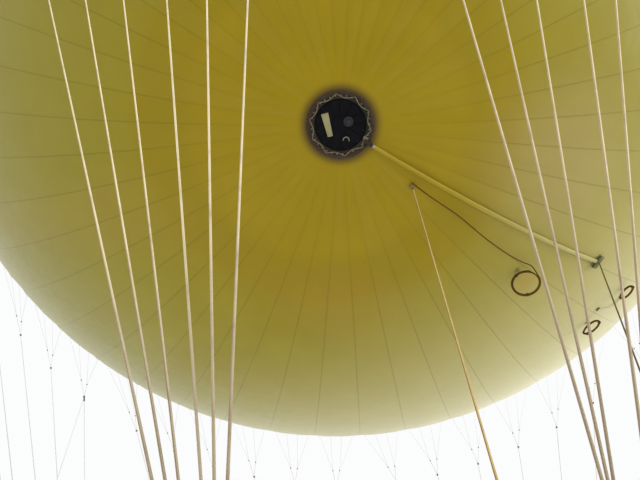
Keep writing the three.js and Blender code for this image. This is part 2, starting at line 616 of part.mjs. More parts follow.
function coil({ azimuth, polar, lean, turn, radius, squash }) {
  const profile = [];
  for (let n = 0; n < COIL.sides; n += 1) {
    const angle = (n * 2 * Math.PI) / COIL.sides;
    profile.push([radius + COIL.tube * Math.cos(angle), COIL.tube * Math.sin(angle)]);
  }
  const { point } = shellSpot(azimuth, polar, eyeTip + COIL.eyeGap);
  return lathe(profile, COIL.segments)
    .scale(1, squash, 1)
    .translate(0, (radius + COIL.tube) * squash, 0)
    .rotateX(-rad(lean))
    .rotateZ(-rad(azimuth + turn))
    .translate(point.x, point.y, point.z);
}

// The scene graph
const balloon = new THREE.Group();

function add(name, geometry, material) {
  const mesh = new THREE.Mesh(geometry, material);
  mesh.name = name;
  balloon.add(mesh);
}

add('envelope_shell', envelopeShell(), YELLOW_FABRIC);
add('crown_collar', flipped(valveCollar()), GREY_METAL);
add('crown_lid', flipped(valveLid()), DARK_PLATE);
add('valve_collar', valveCollar(), GREY_METAL);
add('valve_lid', valveLid(), DARK_PLATE);
add('valve_strut', valveStrut(), BEIGE);
add('valve_boss', valveBoss(), GREY_METAL);
add('fill_port', fillPort(), ALUMINIUM);
add('fill_sleeve', fillSleeve(), PALE_FABRIC);
add('sleeve_clamp', sleeveClamp(), DARK_PLATE);
add('sleeve_tie', sleeveTie(), DARK_ROPE);
add('line_eye', eyePatch(LINE_EYE.azimuth, LINE_EYE.polar), PALE_FABRIC);
add('control_line', controlLine(), ROPE);
add('slack_line', slackLine(), DARK_ROPE);
for (const spare of COILS) {
  add(spare.name, coil(spare), DARK_ROPE);
  add(`${spare.name}_eye`, eyePatch(spare.azimuth, spare.polar), PALE_FABRIC);
}
for (let lug = 0; lug < RING.lugs; lug += 1) add(`bridle_${lug + 1}`, bridle(lug), ROPE);
add('load_ring', loadRing(), GREY_METAL);
add('load_cell', loadCell(), ALUMINIUM);
add('tether_swivel', tetherSwivel(), GREY_METAL);
add('inner_rail', innerRail(), ALUMINIUM);
for (let lug = 0; lug < RING.lugs; lug += 1) add(`stay_${lug + 1}`, stay(lug), GREY_METAL);
add('gondola_deck', ringBand(DECK.inner, DECK.outer, deckBottom, DECK.top, DECK.sides), DECK_GREY);
add('gondola_underframe', gondolaUnderframe(), GREY_METAL);
add('gondola_fender', gondolaFender(), RUBBER);
GATE_AZIMUTHS.forEach((azimuth, index) => {
  add(`outer_rail_${index + 1}`, outerRail(azimuth), PAINT_WHITE);
  add(`gate_${index + 1}`, gate(azimuth), PAINT_WHITE);
});
add('control_box', controlBox(), DARK_PLATE);

export default balloon;
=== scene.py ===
import math

import bmesh
import bpy
from mathutils import Matrix, Vector


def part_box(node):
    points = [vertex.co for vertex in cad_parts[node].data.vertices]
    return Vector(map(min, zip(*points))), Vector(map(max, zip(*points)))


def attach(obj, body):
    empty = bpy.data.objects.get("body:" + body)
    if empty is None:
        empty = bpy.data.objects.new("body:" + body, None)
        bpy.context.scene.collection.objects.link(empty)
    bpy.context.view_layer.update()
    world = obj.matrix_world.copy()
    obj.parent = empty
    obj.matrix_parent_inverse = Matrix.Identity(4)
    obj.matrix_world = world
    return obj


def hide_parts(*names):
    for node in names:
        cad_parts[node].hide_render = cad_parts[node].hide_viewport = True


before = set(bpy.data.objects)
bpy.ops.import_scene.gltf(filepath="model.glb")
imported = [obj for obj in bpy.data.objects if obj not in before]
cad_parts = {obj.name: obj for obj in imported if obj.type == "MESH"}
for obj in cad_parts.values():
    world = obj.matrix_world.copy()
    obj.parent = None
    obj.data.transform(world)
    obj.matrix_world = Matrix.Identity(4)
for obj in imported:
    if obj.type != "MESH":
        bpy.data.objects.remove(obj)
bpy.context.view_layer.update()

bl_info = {
    "name": "Tethered gas balloon",
    "version": (1, 0, 0),
    "blender": (4, 5, 0),
    "location": "View3D > Sidebar > Balloon",
    "description": "Dresses the packed frame of a tethered gas balloon with its fabric, ropes and fittings",
    "category": "Object",
}

# Places that repeat the part's source, in metres and degrees.
# An azimuth is in degrees from +Y towards +X, a polar angle in degrees up from the lowest point.
RADIUS = 11.0
GORES = 46
SEAM_AZIMUTH = 2.6
LUG_COUNT = 8
ROPES_PER_LUG = 6
ROPE_STEP = 7.5
FIRST_LUG = -144.7
LUG_RADIUS = 0.8
LUG_HEIGHT = -20.0
LOWER_LUG_HEIGHT = -20.22
CROWN_HEIGHT = 0.062
NET_TWIST = -2.6
NET_POLAR = 57.2
RING_TOP, RING_BOTTOM = -20.05, -20.17
DECK_TOP = -22.18
RAIL_TOP = -21.08
RAIL_INNER, RAIL_OUTER = 1.25, 2.85
GATE_HALF_ANGLE = 8.5
COLLAR_BOTTOM = -11.0035
LID_BOTTOM = -10.9885
FLOOR = -22.4503


def shift(x, y, z):
    return Matrix.Translation((x, y, z))


def tilt(angle, axis):
    return Matrix.Rotation(angle, 4, axis)


# Lay a piece that is modelled along Z along Y or X instead
ALONG_Y = tilt(math.pi / 2, "X")
ALONG_X = tilt(math.pi / 2, "Y")


def turned(azimuth, radius=0.0, z=0.0, lean=0.0):
    """The place on the balloon at an azimuth, with its Z leaning outwards"""
    return tilt(-math.radians(azimuth), "Z") @ shift(0, radius, z) @ tilt(-math.radians(lean), "X")


def at(azimuth, radius, z):
    return turned(azimuth) @ Vector((0, radius, z))


def on_sphere(azimuth, polar, radius=RADIUS):
    return at(azimuth, radius * math.sin(math.radians(polar)), -radius * math.cos(math.radians(polar)))


def shell_place(azimuth, polar, lift=0.0):
    """X across the gore, Y up along it and Z out of the fabric"""
    outward = on_sphere(azimuth, polar, 1.0)
    side = Vector((-math.cos(math.radians(azimuth)), math.sin(math.radians(azimuth)), 0))
    along = outward.cross(side)
    basis = Matrix((side, along, outward)).transposed().to_4x4()
    return Matrix.Translation(outward * (RADIUS + lift)) @ basis


def aligned(point, way):
    """A place at a point with its Z along a way"""
    return Matrix.Translation(point) @ way.to_track_quat("Z", "Y").to_matrix().to_4x4()


def straight(start, end, steps):
    return [start.lerp(end, n / steps) for n in range(steps + 1)]


def box_middle(name):
    low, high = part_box(name)
    return (Vector(low) + Vector(high)) / 2


ROPE_LEAN = math.degrees(
    math.atan2(
        RADIUS * math.sin(math.radians(NET_POLAR)) - LUG_RADIUS,
        -RADIUS * math.cos(math.radians(NET_POLAR)) - LUG_HEIGHT,
    )
)


# Modelling helpers


def clear_selection():
    if bpy.context.mode != "OBJECT":
        bpy.ops.object.mode_set(mode="OBJECT")
    bpy.ops.object.select_all(action="DESELECT")


def pick(*pieces):
    clear_selection()
    for piece in pieces:
        piece.select_set(True)
    bpy.context.view_layer.objects.active = pieces[0]


def open_mesh(piece, action="SELECT"):
    """Open a piece in edit mode, with all of it selected or none"""
    pick(piece)
    bpy.ops.object.mode_set(mode="EDIT")
    bpy.ops.mesh.select_all(action=action)


def select_where(piece, kind, wanted):
    """In edit mode, select the verts, edges or faces that a test accepts"""
    mesh = bmesh.from_edit_mesh(piece.data)
    for item in getattr(mesh, kind):
        item.select = wanted(item)
    bmesh.update_edit_mesh(piece.data)


def tidy_mesh(distance=1e-5):
    """Merge doubles and turn the faces outwards, in edit mode, then leave it"""
    bpy.ops.mesh.select_all(action="SELECT")
    bpy.ops.mesh.remove_doubles(threshold=distance)
    bpy.ops.mesh.normals_make_consistent(inside=False)
    bpy.ops.object.mode_set(mode="OBJECT")


def press_panel(piece, wanted, *insets):
    """Inset the faces that a test accepts, each time by a width and a depth"""
    open_mesh(piece)
    bpy.ops.mesh.select_mode(type="FACE")
    select_where(piece, "faces", wanted)
    for width, depth in insets:
        bpy.ops.mesh.inset(thickness=width, depth=depth)
    bpy.ops.mesh.select_mode(type="VERT")
    tidy_mesh()


def modify(piece, kind, **settings):
    """Add a modifier, give it its settings and apply it"""
    pick(piece)
    bpy.ops.object.modifier_add(type=kind)
    modifier = piece.modifiers[-1]
    for key, value in settings.items():
        setattr(modifier, key, value)
    bpy.ops.object.modifier_apply(modifier=modifier.name)


def thicken(piece, thickness, offset=-1.0):
    modify(piece, "SOLIDIFY", thickness=thickness, offset=offset)


def draw_line(points):
    """A chain of edges drawn by extruding one vertex, left in edit mode"""
    points = [Vector(point) for point in points]
    clear_selection()
    bpy.ops.mesh.primitive_plane_add(size=0.01, location=(0, 0, 0))
    piece = bpy.context.object
    bpy.ops.object.mode_set(mode="EDIT")
    bpy.ops.mesh.select_all(action="SELECT")
    bpy.ops.mesh.merge(type="CENTER")
    bpy.ops.transform.translate(value=points[0])
    for before, after in zip(points, points[1:]):
        bpy.ops.mesh.extrude_region_move(TRANSFORM_OT_translate={"value": after - before})
    return piece


def spin_open(steps, angle=2 * math.pi):
    bpy.ops.mesh.select_all(action="SELECT")
    bpy.ops.mesh.spin(steps=steps, angle=angle, center=(0, 0, 0), axis=(0, 0, 1))


def lathe(profile, steps, azimuth=0.0):
    """Radius and height pairs spun round the balloon's axis"""
    piece = draw_line([at(azimuth, radius, z) for radius, z in profile])
    spin_open(steps)
    tidy_mesh()
    return piece


def rope(points, radius, roundness=1, smooth=False, laid=True):
    """A round rope through the points, its UV in metres along and turns around"""
    draw_line(points)
    bpy.ops.object.mode_set(mode="OBJECT")
    bpy.ops.object.convert(target="CURVE")
    curve = bpy.context.object.data
    if smooth:
        for spline in curve.splines:
            spline.type = "NURBS"
            spline.use_endpoint_u = True
            spline.order_u = 3
            spline.resolution_u = 3
    curve.bevel_depth = radius
    curve.bevel_resolution = roundness
    curve.use_fill_caps = True
    length = sum((Vector(b) - Vector(a)).length for a, b in zip(points, points[1:]))
    bpy.ops.object.convert(target="MESH")
    piece = bpy.context.object
    if laid and piece.data.uv_layers:
        for corner in piece.data.uv_layers[0].data:
            corner.uv[0] *= length
    return piece


def settle(bevel=0.0, segments=2):
    """Move the new part's place into its mesh and round its edges"""
    piece = bpy.context.object
    bpy.ops.object.transform_apply(location=True, rotation=True, scale=True)
    if bevel:
        modify(
            piece, "BEVEL", width=bevel, segments=segments, limit_method="ANGLE", angle_limit=math.radians(40)
        )
    return piece


def add_box(size, place, bevel=0.0, segments=2):
    clear_selection()
    bpy.ops.mesh.primitive_cube_add(
        size=1, location=place.translation, rotation=place.to_euler(), scale=size
    )
    return settle(bevel, segments)


def add_cylinder(radius, height, place, sides=16, bevel=0.0, segments=2):
    clear_selection()
    bpy.ops.mesh.primitive_cylinder_add(
        vertices=sides, radius=radius, depth=height, location=place.translation, rotation=place.to_euler()
    )
    return settle(bevel, segments)


def add_bolt(radius, height, place, bevel=0.0015):
    return add_cylinder(radius, height, place, 6, bevel, 1)


def add_ring(radius, tube, place, around=24, across=8):
    clear_selection()
    bpy.ops.mesh.primitive_torus_add(
        major_radius=radius, minor_radius=tube, major_segments=around, minor_segments=across,
        location=place.translation, rotation=place.to_euler(),
    )
    return settle()


def join_up(name, parts):
    pick(*parts)
    if len(parts) > 1:
        bpy.ops.object.join()
    piece = bpy.context.object
    piece.name = name
    return piece


def placed_copy(piece, place, name="copy"):
    """A copy with its own mesh, moved to its place inside the mesh"""
    pick(piece)
    bpy.ops.object.duplicate(linked=False)
    copy = bpy.context.object
    copy.name = name
    copy.matrix_world = place
    bpy.ops.object.transform_apply(location=True, rotation=True, scale=True)
    return copy


def remove(*pieces):
    pick(*pieces)
    bpy.ops.object.delete(use_global=False)


def spun_copies(piece, count):
    """Repeat a piece round the balloon's axis, in its own mesh"""
    open_mesh(piece)
    steps = count - 1
    reach = 2 * math.pi * steps / count
    bpy.ops.mesh.spin(steps=steps, dupli=True, angle=reach, center=(0, 0, 0), axis=(0, 0, 1))
    bpy.ops.object.mode_set(mode="OBJECT")


def diamonds(piece, cord, drop_foot=None):
    """Turn a grid of squares into the cords of a diamond net"""
    open_mesh(piece)
    bpy.ops.mesh.poke(offset=0.0)
    # The corners of the old squares have more edges than the new middles
    mesh = bmesh.from_edit_mesh(piece.data)
    corner = {vertex for vertex in mesh.verts if len(vertex.link_edges) > 4}
    for edge in mesh.edges:
        edge.select = edge.verts[0] in corner and edge.verts[1] in corner and not edge.is_boundary
    bmesh.update_edit_mesh(piece.data)
    bpy.ops.mesh.dissolve_edges(use_verts=False)
    if drop_foot is not None:
        select_where(
            piece, "edges",
            lambda edge: edge.is_boundary and all(abs(end.co.z - drop_foot) < 0.01 for end in edge.verts),
        )
        bpy.ops.mesh.select_mode(type="EDGE")
        bpy.ops.mesh.delete(type="EDGE")
        bpy.ops.mesh.select_mode(type="VERT")
    bpy.ops.object.mode_set(mode="OBJECT")
    modify(piece, "WIREFRAME", thickness=cord, offset=0.0, use_even_offset=False, use_boundary=True)


def fit(name, parts, body, look, copies=1, smooth=35.0):
    """Join the parts, repeat them round the axis, and shade, paint and fasten them as one piece"""
    piece = join_up(name, parts)
    if copies > 1:
        spun_copies(piece, copies)
    pick(piece)
    piece.data.materials.clear()
    piece.data.materials.append(finish(look))
    bpy.ops.object.shade_smooth_by_angle(angle=math.radians(smooth))
    piece.data.name = piece.name
    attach(piece, body)
    return piece


# Material helpers


def socket_colour(colour):
    return (colour[0], colour[1], colour[2], 1.0)


class Graph:
    """A material's node tree, with short ways to add to it"""

    def __init__(self, name):
        self.material = bpy.data.materials.new(name)
        self.material.use_nodes = True
        self.tree = self.material.node_tree
        self.shader = next(node for node in self.tree.nodes if node.type == "BSDF_PRINCIPLED")
        self.coordinates = self.tree.nodes.new("ShaderNodeTexCoord").outputs

    def feed(self, socket, value):
        """Give a socket another node's output, a colour or a plain value"""
        if isinstance(value, bpy.types.NodeSocket):
            self.tree.links.new(value, socket)
        else:
            socket.default_value = socket_colour(value) if socket.type == "RGBA" else value

    def node(self, kind, inputs, **settings):
        made = self.tree.nodes.new(kind)
        for key, value in settings.items():
            setattr(made, key, value)
        for key, value in inputs.items():
            self.feed(made.inputs[key], value)
        return made

    def set(self, **values):
        for key, value in values.items():
            self.feed(self.shader.inputs[key.replace("_", " ")], value)

    def math(self, operation, *values):
        return self.node("ShaderNodeMath", dict(enumerate(values)), operation=operation).outputs[0]

    def length(self, x, y):
        squares = [self.math("MULTIPLY", value, value) for value in (x, y)]
        return self.math("SQRT", self.math("ADD", *squares))

    def split(self, coordinates):
        return self.node("ShaderNodeSeparateXYZ", {0: self.coordinates[coordinates]}).outputs

    def noise(self, scale, detail=4.0, roughness=0.55, distortion=0.0):
        inputs = {"Scale": scale, "Detail": detail, "Roughness": roughness, "Distortion": distortion}
        inputs["Vector"] = self.coordinates["Object"]
        return self.node("ShaderNodeTexNoise", inputs).outputs["Fac"]

    def wave(self, scale, direction):
        inputs = {"Scale": scale, "Vector": self.coordinates["Object"]}
        made = self.node("ShaderNodeTexWave", inputs, wave_type="BANDS", bands_direction=direction)
        return made.outputs["Fac"]

    def ramp(self, factor, stops):
        made = self.node("ShaderNodeValToRGB", {"Fac": factor})
        elements = made.color_ramp.elements
        while len(elements) < len(stops):
            elements.new(0.5)
        for element, (position, colour) in zip(elements, stops):
            element.position = position
            element.color = socket_colour(colour)
        return made.outputs["Color"]

    def mix(self, factor, first, second):
        return self.node("ShaderNodeMix", {0: factor, 6: first, 7: second}, data_type="RGBA").outputs[2]

    def span(self, value, low, high, to_low=0.0, to_high=1.0, smooth=False):
        kind = "SMOOTHSTEP" if smooth else "LINEAR"
        inputs = dict(enumerate((value, low, high, to_low, to_high)))
        return self.node("ShaderNodeMapRange", inputs, interpolation_type=kind).outputs[0]

    def bump(self, height, strength, distance, normal=None):
        inputs = {"Strength": strength, "Distance": distance, "Height": height}
        if normal:
            inputs["Normal"] = normal
        return self.node("ShaderNodeBump", inputs).outputs["Normal"]


def envelope_fabric(colours):
    """Coated yellow fabric: golden round the valve, a deeper band, olive beyond it, with sewn seams"""
    graph = Graph("envelope_fabric")
    x, y, z = graph.split("Object")
    across = graph.length(x, y)
    drift = graph.noise(0.35, 3.0)
    band_across = graph.length(graph.math("ADD", x, 0.24), graph.math("ADD", y, -0.1))
    height = graph.math("MULTIPLY", z, -1.0)
    band_polar = graph.math("MULTIPLY", graph.math("ARCTAN2", band_across, height), 180 / math.pi)
    wander = graph.math("MULTIPLY", graph.math("SUBTRACT", drift, 0.5), 1.8)
    # Past the band the fabric pales towards the limb and above: its own olive-yellow with painted glare and
    # painted sky reflection
    zones = graph.ramp(
        graph.math("DIVIDE", graph.math("ADD", band_polar, wander), 60.0),
        [
            (0.0, colours.inner), (0.178, colours.inner), (0.203, colours.band), (0.258, colours.band),
            (0.282, colours.outer), (0.45, colours.middle), (0.7, colours.far), (0.95, colours.pale),
        ],
    )
    # Each seam is a line of overlapped fabric that lets less light through
    turns = graph.math("MULTIPLY", graph.math("ARCTAN2", x, y), GORES / (2 * math.pi))
    shifted = graph.math("SUBTRACT", turns, SEAM_AZIMUTH * GORES / 360)
    away = graph.math("ABSOLUTE", graph.math("SUBTRACT", shifted, graph.math("ROUND", shifted)))
    distance = graph.math("MULTIPLY", graph.math("MULTIPLY", away, 2 * math.pi / GORES), across)
    seam = graph.span(distance, 0.004, 0.018, 1.0, 0.0, smooth=True)
    seam = graph.math("MULTIPLY", seam, graph.span(across, 0.9, 3.6, 0.15, 1.0, smooth=True))
    patches = graph.noise(1.1, 5.0, 0.6)
    tone = graph.mix(graph.span(patches, 0.3, 0.75, 0.0, 0.35), zones, colours.patch_tone)
    gore = graph.node(
        "ShaderNodeTexWhiteNoise", {"W": graph.math("FLOOR", shifted)}, noise_dimensions="1D"
    )
    tone = graph.mix(graph.math("MULTIPLY", gore.outputs["Value"], 0.07), tone, colours.far)
    blush = graph.noise(0.22, 1.0, 0.4)
    tone = graph.mix(graph.span(blush, 0.62, 0.8, 0.0, 0.3), tone, colours.blush)
    sunlit = graph.math("ADD", graph.math("MULTIPLY", x, 0.7), graph.math("MULTIPLY", y, 0.78))
    tone = graph.mix(graph.span(sunlit, 2.4, 9.8, 0.0, 0.9, smooth=True), tone, colours.glow)
    # A pale patch on the bright side, painted light where the glare falls, and a blush of rust behind the
    # first coil
    for spot, reach, strength, patch_tone in (
        ((3.75, 0.37, -10.33), 2.1, 0.32, (0.54, 0.43, 0.24)),
        ((3.67, 2.62, -10.03), 0.26, 0.38, (0.50, 0.25, 0.03)),
    ):
        gap = graph.node(
            "ShaderNodeVectorMath", {0: graph.coordinates["Object"], 1: spot}, operation="DISTANCE"
        )
        patch = graph.span(gap.outputs["Value"], reach, reach * 0.15, 0.0, strength, smooth=True)
        tone = graph.mix(patch, tone, patch_tone)
    tone = graph.mix(graph.span(x, -1.0, -9.0, 0.0, 0.55, smooth=True), tone, colours.shade)
    # The fabric is painted darker in a ring round the bottom valve
    tone = graph.mix(graph.span(across, 0.68, 0.5, 0.0, 0.9, smooth=True), tone, colours.bottom_darkening)
    cloth = graph.bump(graph.wave(160.0, "DIAGONAL"), 0.06, 0.001)
    creases = graph.bump(graph.noise(1.7, 4.0, 0.5, distortion=0.6), 0.16, 0.05, cloth)
    graph.set(
        Base_Color=graph.mix(graph.math("MULTIPLY", seam, 0.3), tone, colours.seam),
        Roughness=graph.span(graph.noise(6.0, 3.0), 0.3, 0.7, 0.38, 0.5),
        Normal=graph.bump(seam, 0.3, 0.004, creases),
        Sheen_Weight=0.45, Sheen_Roughness=0.3, Specular_IOR_Level=0.16, Sheen_Tint=(1.0, 0.98, 0.88),
    )
    return graph.material


def laid_rope(name, light, dark, weathered=0.6, bottom_darkening=0.0, bleached=0.0, sheen=0.12):
    """Three-strand rope: the UV runs in metres along it and once around"""
    lay, depth, roughness = 0.03, 0.0012, 0.85
    graph = Graph(name)
    along, around, _ = graph.split("UV")
    strands = graph.math("ADD", graph.math("DIVIDE", along, lay), around)
    crossing = graph.math("FRACT", graph.math("MULTIPLY", strands, 3.0))
    groove = graph.math("ABSOLUTE", graph.math("SUBTRACT", crossing, 0.5))
    # Random dirt, and painted shade in the grooves between the strands, make the rope's darker tone
    dirt = graph.noise(14.0, 4.0, 0.6)
    dirt_and_groove_shade = graph.math("ADD", graph.math("MULTIPLY", dirt, 0.7), graph.math("MULTIPLY", groove, -0.2))
    tone = graph.ramp(dirt_and_groove_shade, [(0.05, dark), (0.3, light), (0.8, light)])
    # The side of the rope that faces -X is painted brown: painted shade on the side away from the key light
    side_shade_mask = graph.span(graph.split("Normal")[0], -0.15, -0.75, 0.0, weathered, smooth=True)
    tone = graph.mix(side_shade_mask, tone, (0.20, 0.105, 0.035))
    # The ropes on one side of the balloon are painted pale grey: painted glare
    x, y, z = graph.split("Object")
    aside = graph.math("ABSOLUTE", graph.math("ADD", graph.math("ARCTAN2", x, y), 0.262))
    tone = graph.mix(graph.span(aside, 1.17, 1.08, 0.0, bleached), tone, (0.60, 0.62, 0.65))
    # The lowest stretch of each rope is painted darker
    lowest_stretch = graph.span(z, -19.1, -19.75, 0.0, bottom_darkening, smooth=True)
    fibres = graph.bump(graph.noise(260.0, 2.0), 0.15, 0.0008)
    graph.set(
        Base_Color=graph.mix(lowest_stretch, tone, (0.26, 0.19, 0.14)),
        Roughness=graph.span(dirt, 0.3, 0.7, roughness - 0.12, min(1.0, roughness + 0.1)),
        Normal=graph.bump(graph.math("SUBTRACT", 0.5, groove), 0.5, depth, fibres),
        Sheen_Weight=sheen, Sheen_Roughness=0.6, Specular_IOR_Level=0.12,
    )
    return graph.material


def worn_metal(name, base, dark, metallic=0.9, roughness=0.4, grain=30.0):
    graph = Graph(name)
    cloud = graph.noise(3.0, 6.0, 0.6)
    fine = graph.noise(grain, 3.0, 0.6)
    graph.set(
        Base_Color=graph.ramp(cloud, [(0.28, dark), (0.55, base), (0.8, base)]),
        Roughness=graph.span(fine, 0.25, 0.75, roughness - 0.1, roughness + 0.15),
        Normal=graph.bump(fine, 0.05, 0.002),
        Metallic=metallic,
    )
    return graph.material


def moulded(name, base, dark, roughness=0.55, grain=90.0, depth=0.001, coat=0.0, gloss=0.5):
    graph = Graph(name)
    cloud = graph.noise(2.2, 5.0, 0.6)
    fine = graph.noise(grain, 3.0, 0.65)
    graph.set(
        Base_Color=graph.ramp(cloud, [(0.25, dark), (0.6, base), (0.85, base)]),
        Roughness=graph.span(fine, 0.25, 0.75, roughness - 0.08, min(1.0, roughness + 0.12)),
        Normal=graph.bump(fine, 0.25, depth),
        Coat_Weight=coat, Coat_Roughness=0.25, Specular_IOR_Level=gloss,
    )
    return graph.material


def woven(name, base, dark, scale=90.0, roughness=0.7, wrinkle=0.3, faded=None):
    """Cloth with a plain weave and soft creases"""
    graph = Graph(name)
    cloth = graph.math("ADD", graph.wave(scale, "X"), graph.wave(scale, "Z"))
    cloud = graph.noise(3.5, 5.0, 0.6)
    tone = graph.ramp(cloud, [(0.25, dark), (0.6, base), (0.85, base)])
    if faded:
        # Cloth towards +X, where the key light falls, is painted paler: painted light
        lit_side_mask = graph.span(graph.split("Object")[0], 1.5, 5.0, 0.0, 0.8, smooth=True)
        tone = graph.mix(lit_side_mask, tone, faded)
    creases = graph.bump(graph.noise(7.0, 4.0, 0.5, distortion=0.8), wrinkle, 0.02)
    graph.set(
        Base_Color=tone,
        Roughness=graph.span(cloud, 0.2, 0.8, roughness - 0.08, roughness + 0.08),
        Normal=graph.bump(cloth, 0.15, 0.0008, creases),
        Sheen_Weight=0.1, Sheen_Roughness=0.5, Specular_IOR_Level=0.25,
    )
    return graph.material


def deck_plate():
    """Grey deck plates with a raised tread and scuffs"""
    graph = Graph("deck_plate")
    inputs = {"Scale": 34.0, "Randomness": 0.15, "Vector": graph.coordinates["Object"]}
    tread = graph.node("ShaderNodeTexVoronoi", inputs, feature="DISTANCE_TO_EDGE")
    lump = graph.span(tread.outputs["Distance"], 0.02, 0.12)
    scuff = graph.noise(1.6, 7.0, 0.65)
    greys = [(0.25, (0.10, 0.105, 0.11)), (0.5, (0.2, 0.205, 0.21)), (0.78, (0.29, 0.29, 0.285))]
    graph.set(
        Base_Color=graph.ramp(scuff, greys),
        Roughness=graph.span(scuff, 0.25, 0.75, 0.55, 0.8),
        Normal=graph.bump(lump, 0.5, 0.003),
        Metallic=0.25,
    )
    return graph.material


# Each finish's maker, material name, light and dark colour, and what else its maker needs.
# A text in place of a colour is the name of one of the colour settings.
LOOKS = {
    "rope": (laid_rope, "suspension_rope", "rope_light", "rope_dark", {"bottom_darkening": 0.6, "bleached": 0.8}),
    "control": (laid_rope, "control_rope", (0.56, 0.41, 0.13), (0.28, 0.19, 0.06), {"weathered": 0.8}),
    "tie": (
        laid_rope, "tie_rope", (0.20, 0.17, 0.07), (0.10, 0.08, 0.035), {"weathered": 0.3, "sheen": 0.0}
    ),
    "knot": (
        laid_rope, "knot_rope", (0.14, 0.12, 0.09), (0.06, 0.05, 0.04), {"weathered": 0.3, "sheen": 0.0}
    ),
    "dark_rope": (laid_rope, "spare_rope", "spare_light", "spare_dark", {"weathered": 0.3, "sheen": 0.0}),
    "net": (laid_rope, "net_cord", (0.66, 0.60, 0.44), (0.42, 0.36, 0.24), {"weathered": 0.2}),
    "lacing": (laid_rope, "lacing_cord", (0.22, 0.19, 0.10), (0.10, 0.08, 0.04), {"weathered": 0.4}),
    "sleeve": (
        woven, "sleeve_cloth", "sleeve", (0.35, 0.26, 0.01),
        {"scale": 70.0, "wrinkle": 0.5, "faded": (0.52, 0.48, 0.20)},
    ),
    "patch": (
        woven, "patch_cloth", (0.31, 0.24, 0.03), (0.23, 0.17, 0.02),
        {"scale": 120.0, "roughness": 0.65, "wrinkle": 0.1},
    ),
    "cuff": (
        woven, "cuff_cloth", (0.062, 0.040, 0.022), (0.03, 0.019, 0.012),
        {"scale": 110.0, "roughness": 0.8, "wrinkle": 0.4},
    ),
    "strap": (
        woven, "black_webbing", (0.02, 0.02, 0.022), (0.01, 0.01, 0.011),
        {"scale": 160.0, "roughness": 0.8, "wrinkle": 0.05},
    ),
    "steel": (
        worn_metal, "galvanised_steel", (0.42, 0.43, 0.44), (0.25, 0.26, 0.27),
        {"metallic": 0.85, "roughness": 0.42},
    ),
    "bolt": (
        worn_metal, "bolt_steel", (0.55, 0.55, 0.56), (0.34, 0.34, 0.35),
        {"metallic": 1.0, "roughness": 0.3, "grain": 60.0},
    ),
    "aluminium": (
        worn_metal, "aluminium", (0.66, 0.67, 0.68), (0.5, 0.51, 0.52), {"roughness": 0.33, "grain": 45.0}
    ),
    "valve_plate": (
        moulded, "valve_plate", (0.004, 0.004, 0.007), (0.002, 0.002, 0.003),
        {"roughness": 0.75, "grain": 40.0, "gloss": 0.15},
    ),
    "beige": (
        moulded, "beige_plate", (0.36, 0.33, 0.15), (0.24, 0.22, 0.09), {"roughness": 0.5, "grain": 60.0}
    ),
    "pale_plate": (
        moulded, "pale_plate", (0.26, 0.24, 0.15), (0.16, 0.14, 0.08), {"roughness": 0.6, "grain": 60.0}
    ),
    "collar": (
        moulded, "dark_collar", (0.04, 0.028, 0.02), (0.015, 0.011, 0.009),
        {"roughness": 0.7, "grain": 30.0, "gloss": 0.2},
    ),
    "olive": (
        moulded, "olive_clamp", (0.16, 0.15, 0.055), (0.10, 0.09, 0.03),
        {"roughness": 0.65, "grain": 60.0, "gloss": 0.25},
    ),
    "boss": (
        moulded, "grey_boss", (0.035, 0.032, 0.034), (0.016, 0.014, 0.016),
        {"roughness": 0.6, "grain": 60.0, "gloss": 0.25},
    ),
    "white": (
        moulded, "white_paint", (0.74, 0.74, 0.72), (0.6, 0.6, 0.57),
        {"roughness": 0.36, "grain": 120.0, "depth": 0.0006, "coat": 0.3},
    ),
    "rubber": (
        moulded, "black_rubber", (0.02, 0.02, 0.021), (0.012, 0.012, 0.012),
        {"roughness": 0.78, "grain": 140.0},
    ),
    "casing": (
        moulded, "control_casing", (0.035, 0.037, 0.042), (0.02, 0.021, 0.024),
        {"roughness": 0.45, "grain": 160.0, "depth": 0.0008, "coat": 0.15},
    ),
    "handle": (
        moulded, "red_handle", (0.42, 0.025, 0.018), (0.3, 0.018, 0.014),
        {"roughness": 0.4, "grain": 80.0, "depth": 0.0006, "coat": 0.3},
    ),
}
FINISHES = {}


def finish(name):
    """Each finish is made once, when a piece first needs it"""
    if name not in FINISHES:
        colours = bpy.context.scene.balloon_colours
        if name == "envelope":
            FINISHES[name] = envelope_fabric(colours)
        elif name == "deck":
            FINISHES[name] = deck_plate()
        else:
            maker, label, *tones, options = LOOKS[name]
            tones = [getattr(colours, tone) if isinstance(tone, str) else tone for tone in tones]
            FINISHES[name] = maker(label, *tones, **options)
    return FINISHES[name]


# Settings that a user would change


def colour_setting(name, description, value):
    return bpy.props.FloatVectorProperty(
        name=name, description=description, subtype="COLOR", size=3, min=0, max=1, default=value
    )


def length_setting(name, description, value):
    return bpy.props.FloatProperty(
        name=name, description=description, default=value, min=0.0001, unit="LENGTH"
    )


def angle_setting(name, description, degrees):
    return bpy.props.FloatProperty(
        name=name, description=description, subtype="ANGLE", default=math.radians(degrees)
    )


